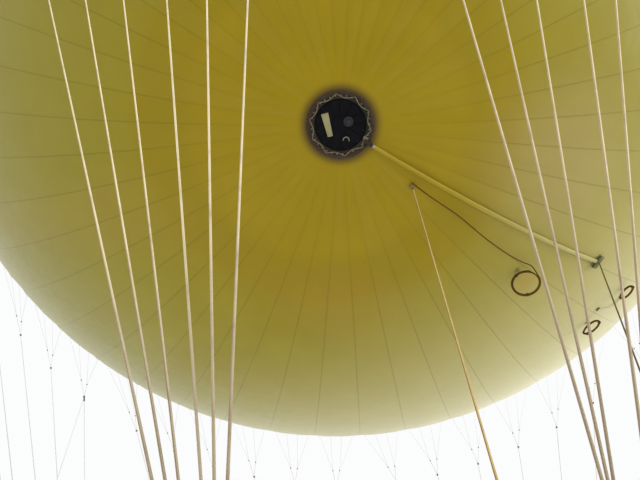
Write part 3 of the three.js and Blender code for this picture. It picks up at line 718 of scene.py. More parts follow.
class BalloonColours(bpy.types.PropertyGroup):
    inner: colour_setting("Inner fabric", "Fabric round the bottom valve", (0.375, 0.262, 0.005))
    band: colour_setting("Golden band", "The deeper band round the bottom", (0.335, 0.242, 0.004))
    outer: colour_setting("Outer fabric", "Fabric outside the band", (0.335, 0.262, 0.012))
    # The middle, far and pale fabric colours get paler towards the limb: the fabric's olive-yellow with
    # painted glare and painted sky reflection
    middle: colour_setting("Middle fabric", "Fabric half way to the limb", (0.335, 0.280, 0.028))
    far: colour_setting("Paler fabric", "Fabric towards the equator", (0.345, 0.320, 0.085))
    pale: colour_setting("Pale fabric", "Fabric of the equator and above", (0.40, 0.385, 0.15))
    patch_tone: colour_setting("Stain", "Soft darker patches in the fabric", (0.25, 0.185, 0.004))
    blush: colour_setting("Blush", "Faint warm patches in the fabric", (0.50, 0.27, 0.07))
    seam: colour_setting("Seam", "Overlapped fabric at the seams", (0.13, 0.10, 0.005))
    glow: colour_setting("Sunlit fabric", "Fabric on the bright side", (0.68, 0.62, 0.30))
    shade: colour_setting("Shaded fabric", "Fabric on the side away from the light", (0.26, 0.24, 0.045))
    # A darker colour painted in a ring round the bottom valve
    bottom_darkening: colour_setting("Darkening", "Dirty ring round the bottom valve", (0.10, 0.06, 0.018))
    sleeve: colour_setting("Fill sleeve", "Pale cloth of the fill sleeve", (0.385, 0.283, 0.011))
    rope_light: colour_setting("Rope, light", "Clean strands of the suspension ropes", (0.90, 0.78, 0.50))
    # The dark rope colour stands for dirt and for painted shade in the grooves
    rope_dark: colour_setting("Rope, dark", "Grooves and dirt of the suspension ropes", (0.50, 0.38, 0.20))
    spare_light: colour_setting("Spare rope, light", "Strands of the spare rope", (0.125, 0.06, 0.009))
    # The dark spare rope colour is painted shade in the grooves, with dirt
    spare_dark: colour_setting("Spare rope, dark", "Grooves of the spare rope", (0.05, 0.022, 0.004))


class BalloonEnvelope(bpy.types.PropertyGroup):
    seam_depth: length_setting("Seam depth", "How far each seam is pulled in", 0.014)
    shell: length_setting("Shell", "Thickness of the envelope", 0.01)
    net_cord: length_setting("Net cord", "Thickness of the net's cords", 0.009)
    net_rows: bpy.props.IntProperty(
        name="Net rows", description="Rows of mesh in the net", default=24, min=4
    )


class BalloonRopes(bpy.types.PropertyGroup):
    main: length_setting("Suspension rope", "Radius of a suspension rope", 0.0032)
    leg: length_setting("Leg", "Radius of a crow's foot leg", 0.0026)
    toe: length_setting("Toe", "Radius of the thin ends on the net", 0.0018)
    spare: length_setting("Spare rope", "Diameter of the spare rope", 0.022)
    control: length_setting("Control line", "Radius of the control line", 0.010)
    tie: length_setting("Sleeve tie", "Radius of the rope that ties the fill sleeve down", 0.0125)
    netting: length_setting("Netting", "Thickness of the cords in the rails' netting", 0.004)


class BalloonStage(bpy.types.PropertyGroup):
    camera: bpy.props.FloatVectorProperty(
        name="Camera", description="Where the camera stands", subtype="TRANSLATION", size=3,
        default=(-0.389, -1.523, -20.647),
    )
    elevation: angle_setting("Elevation", "How steeply the camera looks up", 70.66)
    heading: angle_setting("Heading", "The camera's turn from +Y towards +X", 4.59)
    roll: angle_setting("Roll", "The camera's turn about its own line of sight", 1.35)
    lens: bpy.props.FloatProperty(
        name="Lens", description="Focal length", unit="CAMERA", default=36.0, min=10
    )
    sky: colour_setting("Backdrop", "The pale studio light all round", (0.97, 0.975, 0.98))


class BalloonOperator:
    bl_options = {"REGISTER"}


# The stage


class BALLOON_OT_stage(BalloonOperator, bpy.types.Operator):
    """Set the pale floor, the soft lights and the camera"""

    bl_idname = "balloon.stage"
    bl_label = "Stage"

    def execute(self, context):
        stage = context.scene.balloon_stage
        clear_selection()
        bpy.ops.mesh.primitive_circle_add(
            vertices=128, radius=260, fill_type="NGON", location=(0, 0, FLOOR - 0.002)
        )
        floor = context.object
        floor.name = "studio_floor"
        bpy.ops.object.transform_apply(location=True)
        graph = Graph("studio_floor")
        tones = [(0.2, (0.795, 0.795, 0.785)), (0.8, (0.815, 0.815, 0.805))]
        graph.set(Base_Color=graph.ramp(graph.noise(0.2, 2.0), tones), Roughness=0.85)
        floor.data.materials.append(graph.material)

        world = bpy.data.worlds.new("studio_light")
        world.use_nodes = True
        background = world.node_tree.nodes["Background"]
        background.inputs["Color"].default_value = socket_colour(stage.sky)
        background.inputs["Strength"].default_value = 1.0
        context.scene.world = world

        # Both lights are as even as a large screen far away, so they leave no pools on the floor
        for name, place, strength in (
            ("key_light", (30, -12, -4.5), 2.2),
            ("fill_light", (-26, -30, 22), 0.8),
        ):
            bpy.ops.object.light_add(type="SUN", location=place)
            light = context.object
            light.name = name
            light.data.energy = strength
            light.data.angle = math.radians(28)
            aim = Vector((0, 0, -6)) - Vector(place)
            light.rotation_euler = aim.to_track_quat("-Z", "Y").to_euler()

        bpy.ops.object.camera_add(location=stage.camera)
        camera = context.object
        camera.name = "camera"
        camera.data.lens = stage.lens
        camera.data.sensor_width = 36
        camera.data.clip_start = 0.02
        camera.data.clip_end = 400
        elevation, heading = stage.elevation, stage.heading
        level = math.cos(elevation)
        forward = Vector((math.sin(heading) * level, math.cos(heading) * level, math.sin(elevation)))
        right = Vector((math.cos(heading), -math.sin(heading), 0))
        axes = Matrix((right, right.cross(forward), -forward)).transposed()
        camera.rotation_euler = (axes @ Matrix.Rotation(stage.roll, 3, "Z")).to_euler()
        context.scene.camera = camera
        context.scene.view_settings.view_transform = "Standard"
        return {"FINISHED"}


# The spare rope

SLACK_ROUTE = [
    (1.205, 0.777, -10.982), (1.526, 0.974, -10.936), (2.027, 1.253, -10.851), (2.635, 1.675, -10.678),
    (3.070, 1.942, -10.505), (3.353, 2.091, -10.373), (3.579, 2.184, -10.267),
]
COIL_TURNS = 3
STEPS_PER_TURN = 36
# Name, azimuth and polar angle of the eye, lean, turn, radius and squash of the coil
COILS = [
    ("coil_1", 55.6, 22.1, 60, -20, 0.232, 1.0),
    ("coil_2", 55.3, 38.9, 88, -3, 0.193, 0.62),
    ("coil_3", 63.4, 39.3, 88, -4, 0.165, 0.62),
]


def catmull_rom(points, per_span):
    """The smooth line that the part's source draws through the same points"""
    points = [Vector(point) for point in points]
    padded = [points[0] * 2 - points[1], *points, points[-1] * 2 - points[-2]]
    line = []
    for before, start, end, after in zip(padded, padded[1:], padded[2:], padded[3:]):
        knots = [0.0]
        for a, b in ((before, start), (start, end), (end, after)):
            knots.append(knots[-1] + math.sqrt(max((b - a).length, 1e-6)))
        for step in range(per_span):
            t = knots[1] + (knots[2] - knots[1]) * step / per_span
            a1 = before.lerp(start, (t - knots[0]) / (knots[1] - knots[0]))
            a2 = start.lerp(end, (t - knots[1]) / (knots[2] - knots[1]))
            a3 = end.lerp(after, (t - knots[2]) / (knots[3] - knots[2]))
            b1 = a1.lerp(a2, (t - knots[0]) / (knots[2] - knots[0]))
            b2 = a2.lerp(a3, (t - knots[1]) / (knots[3] - knots[1]))
            line.append(b1.lerp(b2, (t - knots[1]) / (knots[2] - knots[1])))
    line.append(points[-1])
    return line


def coil_place(name, azimuth, lean, turn):
    """The coil's own place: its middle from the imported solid, its axis from the source's turns"""
    turns = tilt(-math.radians(azimuth + turn), "Z") @ tilt(-math.radians(lean), "X")
    return Matrix.Translation(box_middle(name)) @ turns


def coil_route(place, radius, squash, diameter, start_angle, sense=1):
    """Turns that wind round a hollow core, each a diameter from its neighbours"""
    spread = diameter * 1.03 / (2 * math.sin(math.pi / COIL_TURNS))
    route = []
    for step in range(COIL_TURNS * STEPS_PER_TURN - 3):
        angle = start_angle + sense * 2 * math.pi * step / STEPS_PER_TURN
        lay = 2 * math.pi * step / (STEPS_PER_TURN * COIL_TURNS)
        reach = radius + spread * math.cos(lay)
        spot = (reach * math.cos(angle), squash * reach * math.sin(angle), spread * math.sin(lay))
        route.append(place @ Vector(spot))
    return route


def join_routes(slack, wound):
    """The slack line bends smoothly into the first turn of its coil"""
    first, last = slack[-1], wound[0]
    end_way = (slack[-1] - slack[-2]).normalized()
    start_way = (wound[1] - wound[0]).normalized()
    gap = (last - first).length
    bridge = []
    for step in range(1, 8):
        t = step / 8
        h00, h10 = 2 * t**3 - 3 * t**2 + 1, t**3 - 2 * t**2 + t
        h01, h11 = -2 * t**3 + 3 * t**2, t**3 - t**2
        bridge.append(first * h00 + end_way * gap * h10 + last * h01 + start_way * gap * h11)
    return slack + bridge + wound


def declared_rope(name, route, diameter, replaced):
    strand = rope(route, diameter / 2, roundness=2)
    piece = fit(name, [strand], "balloon", "dark_rope", smooth=60)
    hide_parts(*replaced)


def coil_ties(name, place, radius, squash, angles):
    """Whippings of thin cord round a coil, in one piece"""
    parts = []
    for angle in angles:
        middle = (radius * math.cos(angle), squash * radius * math.sin(angle), 0)
        heading = math.atan2(squash * math.cos(angle), -math.sin(angle)) - math.pi / 2
        spot = place @ shift(*middle) @ tilt(heading, "Z")
        for offset in (-0.01, 0.0, 0.01):
            parts.append(add_ring(0.0285, 0.004, spot @ shift(0, offset, 0) @ ALONG_Y, 16, 6))
    return fit(name, parts, "balloon", "dark_rope")


class BALLOON_OT_spare_rope(BalloonOperator, bpy.types.Operator):
    """Hang the slack spare rope and its three coils on the envelope"""

    bl_idname = "balloon.spare_rope"
    bl_label = "Spare rope"

    def execute(self, context):
        diameter = context.scene.balloon_ropes.spare
        for name, azimuth, _, lean, turn, radius, squash in COILS:
            place = coil_place(name, azimuth, lean, turn)
            if name == "coil_1":
                slack = catmull_rom(SLACK_ROUTE, 4)
                inverse = place.inverted()
                local, heading = inverse @ slack[-1], inverse.to_3x3() @ (slack[-1] - slack[-2])
                sense = 1 if local.x * heading.y > local.y * heading.x else -1
                start = math.atan2(local.y, local.x) + sense * 0.8
                wound = coil_route(place, radius, squash, diameter, start, sense)
                route = join_routes(slack, wound)
                ties = coil_ties("coil_1_ties", place, radius, squash, (1.9, 4.4))
                replaced = ["slack_line", "coil_1"]
                declared_rope("spare_rope_1", route, diameter, replaced)
            else:
                wound = coil_route(place, radius, squash, diameter, math.radians(250))
                ties = coil_ties(f"{name}_ties", place, radius, squash, (0.3, 2.4, 4.6))
                rope_name = f"spare_rope_{name[-1]}"
                declared_rope(rope_name, wound, diameter, [name])
        return {"FINISHED"}


# The envelope and its net

SHELL_OPENING = 0.44
SHELL_ROWS = 96
# Half the angles between the two legs of a rope, and between the two toes of a leg
LEG_SPREAD, TOE_SPREAD = 1.875, 0.9375
NET_START = FIRST_LUG + NET_TWIST + 2.5 * ROPE_STEP - TOE_SPREAD
NET_TOP, CROWN_TOP, HOOP_POLAR = 164, 177.0, 3.0


class BALLOON_OT_envelope(BalloonOperator, bpy.types.Operator):
    """Make the smooth fabric envelope, drawn in along its seams"""

    bl_idname = "balloon.envelope"
    bl_label = "Envelope"

    def execute(self, context):
        settings = context.scene.balloon_envelope
        opening = math.degrees(math.asin(SHELL_OPENING / RADIUS))
        rows = [opening + (180 - 2 * opening) * row / SHELL_ROWS for row in range(SHELL_ROWS + 1)]
        profile = [(RADIUS * math.sin(math.radians(p)), -RADIUS * math.cos(math.radians(p))) for p in rows]
        skin = lathe(profile, GORES * 4, SEAM_AZIMUTH)

        def on_seam(vertex):
            x, y, _ = vertex.co
            gore = (math.degrees(math.atan2(x, y)) - SEAM_AZIMUTH) * GORES / 360
            return math.hypot(x, y) > 0.9 and abs(gore - round(gore)) < 0.02

        open_mesh(skin, "DESELECT")
        select_where(skin, "verts", on_seam)
        share = 1 - settings.seam_depth / RADIUS
        bpy.ops.transform.resize(value=(share, share, share), center_override=(0, 0, 0))
        tidy_mesh()
        thicken(skin, settings.shell)
        fit("envelope_skin", [skin], "balloon", "envelope", smooth=60)
        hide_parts("envelope_shell")
        return {"FINISHED"}


class BALLOON_OT_net(BalloonOperator, bpy.types.Operator):
    """Lay the suspension net over the envelope, up to the crown"""

    bl_idname = "balloon.net"
    bl_label = "Net"

    def execute(self, context):
        settings = context.scene.balloon_envelope
        height = RADIUS + settings.net_cord * 0.5 + 0.002
        low, high = math.radians(NET_POLAR), math.radians(NET_TOP)
        first, last = math.log(math.tan(low / 2)), math.log(math.tan(high / 2))
        count = settings.net_rows
        rows = [2 * math.atan(math.exp(first + (last - first) * n / count)) for n in range(count + 1)]
        profile = [(height * math.sin(row), -height * math.cos(row)) for row in rows]
        net = lathe(profile, 2 * LUG_COUNT * ROPES_PER_LUG, NET_START)
        diamonds(net, settings.net_cord, drop_foot=-height * math.cos(low))
        fit("suspension_net", [net], "balloon", "net", smooth=60)

        start = math.degrees(rows[-1])
        points = [on_sphere(NET_START, start + (CROWN_TOP - start) * step / 5, height) for step in range(6)]
        crown = rope(points, 0.006, roundness=0)
        spun_copies(crown, LUG_COUNT * ROPES_PER_LUG)
        hoop, top = math.radians(HOOP_POLAR), rows[-1]
        parts = [
            crown,
            add_ring(height * math.sin(hoop), 0.009, shift(0, 0, height * math.cos(hoop)), 64, 8),
            add_ring(height * math.sin(top), 0.007, shift(0, 0, -height * math.cos(top)), 96, 6),
        ]
        fit("crown_ropes", parts, "balloon", "rope", smooth=60)
        return {"FINISHED"}


# Suspension ropes

KNOT_SHARE = 0.515
SECOND_KNOT_SHARE = 0.61
LEG_POLAR, TOE_POLAR = 56.6, 57.0
# A light line ties two ropes of one lug together
CROSS_LINE_LUG, CROSS_LINE_SHARE = 2, 0.218


def knot_shape():
    """A bulky hitch round three ropes, its axis along Z, modelled once"""
    parts = []
    for z, angle in ((-0.01, 0.25), (0.0, -0.3), (0.01, 0.25)):
        parts.append(add_ring(0.0085, 0.0055, shift(0, 0, z) @ tilt(angle, "X"), 10, 6))
    return join_up("knot", [*parts, add_cylinder(0.0085, 0.036, Matrix.Identity(4), 8, 0.003, 1)])


def bow_shackle(radius, z, lean, crown_width):
    """Two rounded cheeks on a pin with head and nut, and the crown block that the ropes leave"""
    place = turned(FIRST_LUG, radius, z, lean)
    parts = []
    for side in (-1, 1):
        parts.append(add_box((0.010, 0.056, 0.088), place @ shift(side * 0.014, 0, 0.018), 0.004))
        parts.append(add_bolt(0.021, 0.011, place @ shift(side * 0.0235, 0, 0) @ ALONG_X, 0.002))
    parts.append(add_cylinder(0.012, 0.07, place @ ALONG_X, 12))
    parts.append(add_box((crown_width, 0.044, 0.036), place @ shift(0, 0, CROWN_HEIGHT), 0.008, 3))
    return parts


class BALLOON_OT_suspension(BalloonOperator, bpy.types.Operator):
    """Rig the suspension ropes with their knots, crow's feet and shackles"""

    bl_idname = "balloon.suspension"
    bl_label = "Suspension ropes"

    def execute(self, context):
        settings = context.scene.balloon_ropes
        knot = knot_shape()
        lines, knots, sleeves = [], [], []
        crown_middle = turned(FIRST_LUG, LUG_RADIUS, LUG_HEIGHT, ROPE_LEAN)
        for index in range(ROPES_PER_LUG):
            side = 1 if index < 3 else -1
            step = 1 - index % 3
            start = crown_middle @ Vector((side * 0.024 + step * 0.005, step * 0.008, CROWN_HEIGHT))
            azimuth = FIRST_LUG + NET_TWIST + (2.5 - index) * ROPE_STEP
            end = on_sphere(azimuth, NET_POLAR, RADIUS + settings.main)
            way = (end - start).normalized()
            main_knot = start.lerp(end, KNOT_SHARE)
            lines.append(rope(straight(start, main_knot, 6), settings.main))
            knots.append(placed_copy(knot, aligned(main_knot, way)))
            sleeves.append(add_cylinder(0.0058, 0.05, aligned(start + way * 0.05, way), 12, 0.001))
            for lean in (-1, 1):
                leg_azimuth = azimuth + lean * LEG_SPREAD
                spread_end = on_sphere(leg_azimuth, LEG_POLAR, RADIUS + 0.006)
                second = main_knot.lerp(spread_end, (SECOND_KNOT_SHARE - KNOT_SHARE) / (1 - KNOT_SHARE))
                lines.append(rope([main_knot, second], settings.leg, roundness=0))
                knots.append(placed_copy(knot, aligned(second, way) @ Matrix.Scale(0.72, 4)))
                for toe in (-1, 1):
                    tip = on_sphere(leg_azimuth + toe * TOE_SPREAD, TOE_POLAR, RADIUS + 0.007)
                    lines.append(rope([second, tip], settings.toe, roundness=0))
            if index == 0:
                high, high_way = main_knot, way
            elif index == 1:
                low = start.lerp(end, CROSS_LINE_SHARE)
        remove(knot)
        place = turned(CROSS_LINE_LUG * 360 / LUG_COUNT)
        splice = place @ (aligned(high, high_way) @ shift(0, 0, -0.14))
        splice = add_cylinder(0.012, 0.42, splice, 8, 0.003, 1)
        fit("cross_line_splice", [splice], "balloon", "knot", smooth=60)
        cross = rope(straight(place @ high, place @ low, 6), settings.leg)
        fit("cross_line", [cross], "balloon", "rope", smooth=60)
        shackle = bow_shackle(LUG_RADIUS, LUG_HEIGHT, ROPE_LEAN, 0.108)
        sources = [
            (fit(f"{name}_1", parts, "balloon", look, smooth=smooth), name, slot)
            for name, parts, slot, look, smooth in (
                ("suspension", lines, "rope", "rope", 60),
                ("suspension_knots", knots, "dark_rope", "knot", 60),
                ("ferrules", sleeves, "aluminium", "aluminium", 35),
                ("shackle", shackle, "grey_metal", "steel", 35),
            )
        ]
        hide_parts("bridle_1")
        for number in range(2, LUG_COUNT + 1):
            place = turned((number - 1) * 360 / LUG_COUNT)
            for source, name, slot in sources:
                copy = placed_copy(source, place, f"{name}_{number}")
                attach(copy, "balloon")
                if name == "suspension":
                    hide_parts(f"bridle_{number}")
        return {"FINISHED"}


# The bottom valve

BEAD_RADIUS = 0.372
CUFF_FOLDS = 132
LACING_SCALLOPS = 10


class BALLOON_OT_bottom_valve(BalloonOperator, bpy.types.Operator):
    """Build the bottom valve's cuff, lacing, ribs, strut, boss, hook, bracket and tabs"""

    bl_idname = "balloon.bottom_valve"
    bl_label = "Bottom valve"

    def execute(self, context):
        # A gathered cuff of cloth round the collar
        profile = [
            (0.502, -10.990), (0.520, -11.004), (0.516, -11.016), (0.500, -11.022), (0.478, -11.0195),
            (0.462, -11.012), (0.455, -11.006),
        ]
        cuff = lathe(profile, CUFF_FOLDS)

        def in_fold(vertex):
            spoke = round(math.degrees(math.atan2(vertex.co.x, vertex.co.y)) * CUFF_FOLDS / 360)
            return spoke % 3 == 0 and vertex.co.z < -11.0

        open_mesh(cuff, "DESELECT")
        select_where(cuff, "verts", in_fold)
        bpy.ops.transform.resize(value=(0.985, 0.985, 1), center_override=(0, 0, 0))
        bpy.ops.transform.translate(value=(0, 0, 0.004))
        tidy_mesh()
        thicken(cuff, 0.002)
        fit("valve_cuff", [cuff], "balloon", "cuff", smooth=70)

        eyelet = add_ring(0.0085, 0.0032, shift(0, 0.44, COLLAR_BOTTOM - 0.003), 14, 6)
        fit("valve_eyelets", [eyelet], "balloon", "bolt", copies=33)

        route = []
        for step in range(LACING_SCALLOPS * 12 + 1):
            angle = 360 * step / (LACING_SCALLOPS * 12)
            swing = abs(math.sin(math.radians(angle * LACING_SCALLOPS / 2)))
            route.append(at(angle + 14.5, 0.470 - 0.058 * swing, COLLAR_BOTTOM - 0.02 - 0.012 * swing))
        fit("valve_lacing", [rope(route, 0.0065)], "balloon", "lacing", smooth=60)

        # Under the plate: a rim bead, ribs and small bolts, which move with it
        parts = [add_ring(BEAD_RADIUS, 0.008, shift(0, 0, LID_BOTTOM - 0.004), 72, 8)]
        for n in range(12):
            spoke = turned(30 * n + 8, 0.235, LID_BOTTOM - 0.004)
            parts.append(add_box((0.012, 0.25, 0.012), spoke, 0.003))
        fit("valve_plate_ribs", parts, "bottom_valve", "valve_plate")
        bolt = add_bolt(0.008, 0.008, turned(23, 0.352, LID_BOTTOM - 0.004))
        fit("valve_plate_bolts", [bolt], "bottom_valve", "boss", copies=12)

        # A pressed channel with turned edges and four bolts, which narrows towards its +Y end
        middle = shift(-0.193, 0.019, LID_BOTTOM - 0.0123) @ tilt(-math.radians(20.5), "Z")
        inverse = middle.inverted()
        channel = add_box((0.11, 0.356, 0.024), middle, 0.006, 3)
        open_mesh(channel)
        select_where(channel, "verts", lambda vertex: (inverse @ vertex.co).y > 0.1)
        bpy.ops.transform.resize(
            value=(0.72, 1, 1), orient_matrix=middle.to_3x3(), orient_type="GLOBAL",
            orient_matrix_type="GLOBAL", center_override=middle @ Vector((0, 0.178, 0)),
        )
        press_panel(channel, lambda face: face.normal.z < -0.99 and face.calc_area() > 0.02, (0.014, -0.008))
        fit("valve_strut_channel", [channel], "bottom_valve", "beige")
        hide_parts("valve_strut")
        spots = [middle @ shift(x, y, -0.008) for x in (-0.025, 0.025) for y in (-0.14, 0.13)]
        bolts = [add_bolt(0.009, 0.012, spot, 0.002) for spot in spots]
        fit("valve_strut_bolts", bolts, "bottom_valve", "bolt")

        middle = shift(0.114, -0.067, LID_BOTTOM - 0.0203)
        parts = [
            add_cylinder(0.075, 0.04, middle, 32, 0.008, 3),
            add_cylinder(0.04, 0.024, middle @ shift(0, 0, -0.028), 24, 0.005, 2),
            add_ring(0.056, 0.005, middle @ shift(0, 0, -0.02), 32, 8),
        ]
        for n in range(6):
            spot = middle @ tilt(n * math.pi / 3, "Z") @ shift(0.062, 0, -0.022)
            parts.append(add_cylinder(0.0055, 0.008, spot, 6))
        boss = fit("valve_boss_body", parts, "bottom_valve", "boss")
        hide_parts("valve_boss")

        # A pull hook on the plate, a pale bracket on the collar and two black tabs on the cuff
        arc = []
        for step in range(13):
            angle = math.radians(-15 + 210 * step / 12)
            spot = (0.112 - 0.045 * math.cos(angle), 0.215 - 0.045 * math.sin(angle), LID_BOTTOM - 0.012)
            arc.append(spot)
        hook = rope(arc, 0.008, roundness=2, laid=False)
        fit("valve_hook", [hook], "bottom_valve", "pale_plate")
        bracket = add_box((0.045, 0.10, 0.012), turned(69, 0.445, COLLAR_BOTTOM - 0.0065), 0.003)
        fit("valve_bracket", [bracket], "balloon", "pale_plate")
        tabs = []
        for azimuth, radius in ((58.7, 0.478), (66.5, 0.505)):
            spot = turned(azimuth, radius, COLLAR_BOTTOM - 0.024)
            tabs.append(add_box((0.028, 0.075, 0.005), spot, 0.0015, 1))
        fit("valve_tabs", tabs, "balloon", "strap")
        return {"FINISHED"}


# The fill sleeve, its clamp and tie

SLEEVE_START = (63.9, 2.95)
SLEEVE_END = (66.1, 30.1)
SLEEVE_STATIONS = 54
CLAMP_LIFT = 0.034
TIE_AZIMUTH = 40.0


def smoothstep(value, low, high):
    share = min(1.0, max(0.0, (value - low) / (high - low)))
    return share * share * (3 - 2 * share)


class BALLOON_OT_fill_sleeve(BalloonOperator, bpy.types.Operator):
    """Lay the cloth fill sleeve along the envelope, with its bands, clamp bars and tie"""

    bl_idname = "balloon.fill_sleeve"
    bl_label = "Fill sleeve"

    def execute(self, context):
        settings = context.scene.balloon_ropes
        hoops = []
        for station in range(SLEEVE_STATIONS + 1):
            share = station / SLEEVE_STATIONS
            opened = smoothstep(share, 0, 0.35)
            width = 0.027 + 0.009 * opened
            depth = 0.03 - 0.015 * opened
            lift = 0.08 - 0.046 * opened
            azimuth = SLEEVE_START[0] + (SLEEVE_END[0] - SLEEVE_START[0]) * share
            polar = SLEEVE_START[1] + (SLEEVE_END[1] - SLEEVE_START[1]) * share
            width *= 1 + 0.035 * math.sin(station * 0.9) + 0.02 * math.sin(station * 2.3)
            depth *= 1 + 0.12 * math.sin(station * 0.7 + 1)
            clear_selection()
            bpy.ops.mesh.primitive_circle_add(vertices=28, radius=1)
            place = shell_place(azimuth, polar, lift) @ ALONG_Y
            context.object.matrix_world = place @ Matrix.Diagonal((width, depth, 1, 1))
            hoops.append(settle())
        sleeve = join_up("fill_sleeve_cloth", hoops)
        open_mesh(sleeve)
        bpy.ops.mesh.bridge_edge_loops(type="SINGLE", twist_offset=0)
        tidy_mesh()
        ripple = bpy.data.textures.new("sleeve_ripple", "CLOUDS")
        ripple.noise_scale = 0.14
        modify(sleeve, "DISPLACE", texture=ripple, strength=0.006, mid_level=0.5)
        thicken(sleeve, 0.001)
        fit("fill_sleeve_cloth", [sleeve], "balloon", "sleeve", smooth=80)
        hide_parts("fill_sleeve")

        parts = []
        for polar, radius in ((2.98, 0.0315), (3.1, 0.0325)):
            place = shell_place(SLEEVE_START[0], polar, 0.08) @ ALONG_Y
            parts.append(add_ring(radius, 0.005, place, 32, 6))
        fit("sleeve_bands", parts, "balloon", "bolt")

        end = shell_place(*SLEEVE_END, CLAMP_LIFT)
        bars = [add_box((0.27, 0.11, 0.019), end @ shift(0, 0.059, z), 0.004) for z in (-0.0155, 0.0155)]
        clamp = fit("sleeve_clamp_bars", bars, "balloon", "olive")
        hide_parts("sleeve_clamp")
        hem = add_box((0.085, 0.12, 0.012), end @ shift(0, 0.06, 0), 0.003)
        fit("sleeve_hem", [hem], "balloon", "sleeve")
        bolts = [add_bolt(0.009, 0.062, end @ shift(x, 0.059, 0), 0.002) for x in (-0.115, 0.115)]
        fit("sleeve_clamp_bolts", bolts, "balloon", "bolt")

        high = end @ Vector((0, 0.059, 0.035))
        low = at(TIE_AZIMUTH, RAIL_OUTER, RAIL_TOP + 0.004)
        tie = rope(straight(high, low, 8), settings.tie)
        line = fit("sleeve_tie_line", [tie], "balloon", "tie", smooth=60)
        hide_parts("sleeve_tie")
        way = (low - high).normalized()
        knot = knot_shape()
        knots = [placed_copy(knot, aligned(point, way)) for point in (high + way * 0.05, low - way * 0.05)]
        remove(knot)
        for offset in (-0.012, 0.0, 0.012):
            spot = turned(TIE_AZIMUTH, RAIL_OUTER, RAIL_TOP - 0.02) @ shift(offset, 0, 0)
            knots.append(add_ring(0.0345, 0.0055, spot @ ALONG_X, 24, 6))
        fit("sleeve_tie_knots", knots, "balloon", "tie", smooth=60)
        return {"FINISHED"}


# Eyes on the envelope and the control line

LINE_EYE = ("line_eye", 55.2, 7.75)
EYES = [LINE_EYE, *[(f"{name}_eye", azimuth, polar) for name, azimuth, polar, *_ in COILS]]
EYE_LIFT = 0.036
TAB = (58.3, 38.2)
CONTROL_AZIMUTH = 34.0
CONTROL_RADIUS = 1.384


class BALLOON_OT_lines(BalloonOperator, bpy.types.Operator):
    """Sew the eye patches on and run the control line down to its box"""

    bl_idname = "balloon.lines"
    bl_label = "Eyes and control line"

    def execute(self, context):
        settings = context.scene.balloon_ropes
        patch = add_cylinder(0.05, 0.006, shift(0, 0, 0.003), 40, 0.002, 1)
        press_panel(
            patch, lambda face: face.normal.z > 0.99 and face.calc_area() > 0.002,
            (0.006, -0.0015), (0.02, 0.0025),
        )
        webbing = add_box((0.03, 0.08, 0.005), shift(0, 0, 0.008), 0.002, 1)
        loop = add_box((0.028, 0.02, 0.026), shift(0, 0, 0.017), 0.007, 2)
        models = (patch, webbing, loop)
        for name, azimuth, polar in EYES:
            lift = box_middle(name).length - RADIUS
            place = shell_place(azimuth, polar)
            parts = [placed_copy(part, place) for part in models]
            cloth = fit(f"{name}_patch", parts, "balloon", "patch", smooth=50)
            spot = place @ (shift(0, 0, EYE_LIFT) @ ALONG_Y) @ shift(0, min(0, lift - EYE_LIFT), 0)
            fit(f"{name}_ring", [add_ring(0.028, 0.006, spot, 24, 8)], "balloon", "bolt")
            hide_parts(name)
        remove(*models)

        tab = add_box((0.09, 0.06, 0.012), shell_place(*TAB, 0.0065), 0.004)
        fit("lashing_tab", [tab], "balloon", "cuff")
        cords = []
        for sag in (0.0, 0.5):
            middle = [(59.1, 40.3 - sag), (60.4, 41.2 - sag), (61.9, 41.0 - sag / 2)]
            route = [(58.3, 38.3), *middle, (63.2, 39.9)]
            cords.append(rope([on_sphere(*spot, RADIUS + 0.016) for spot in route], 0.006, smooth=True))
        fit("lashing_cords", cords, "balloon", "net", smooth=60)

        top = shell_place(LINE_EYE[1], LINE_EYE[2], 0.07).translation
        bottom = at(CONTROL_AZIMUTH, CONTROL_RADIUS, RAIL_TOP - 0.058)
        strand = rope(straight(bottom, top, 10), settings.control)
        line = fit("control_line_rope", [strand], "balloon", "control", smooth=60)
        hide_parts("control_line")
        way = (bottom - top).normalized()
        knot = knot_shape()
        spots = (top + way * 0.06, bottom - way * 0.12)
        knots = [placed_copy(knot, aligned(spot, way) @ Matrix.Scale(1.5, 4)) for spot in spots]
        remove(knot)
        fit("control_line_knots", knots, "balloon", "dark_rope", smooth=60)
        return {"FINISHED"}


# Fittings of the load ring, the stays and the swivel

RING_FLAT = 0.814
CELL_TOP = RING_BOTTOM - 0.0003


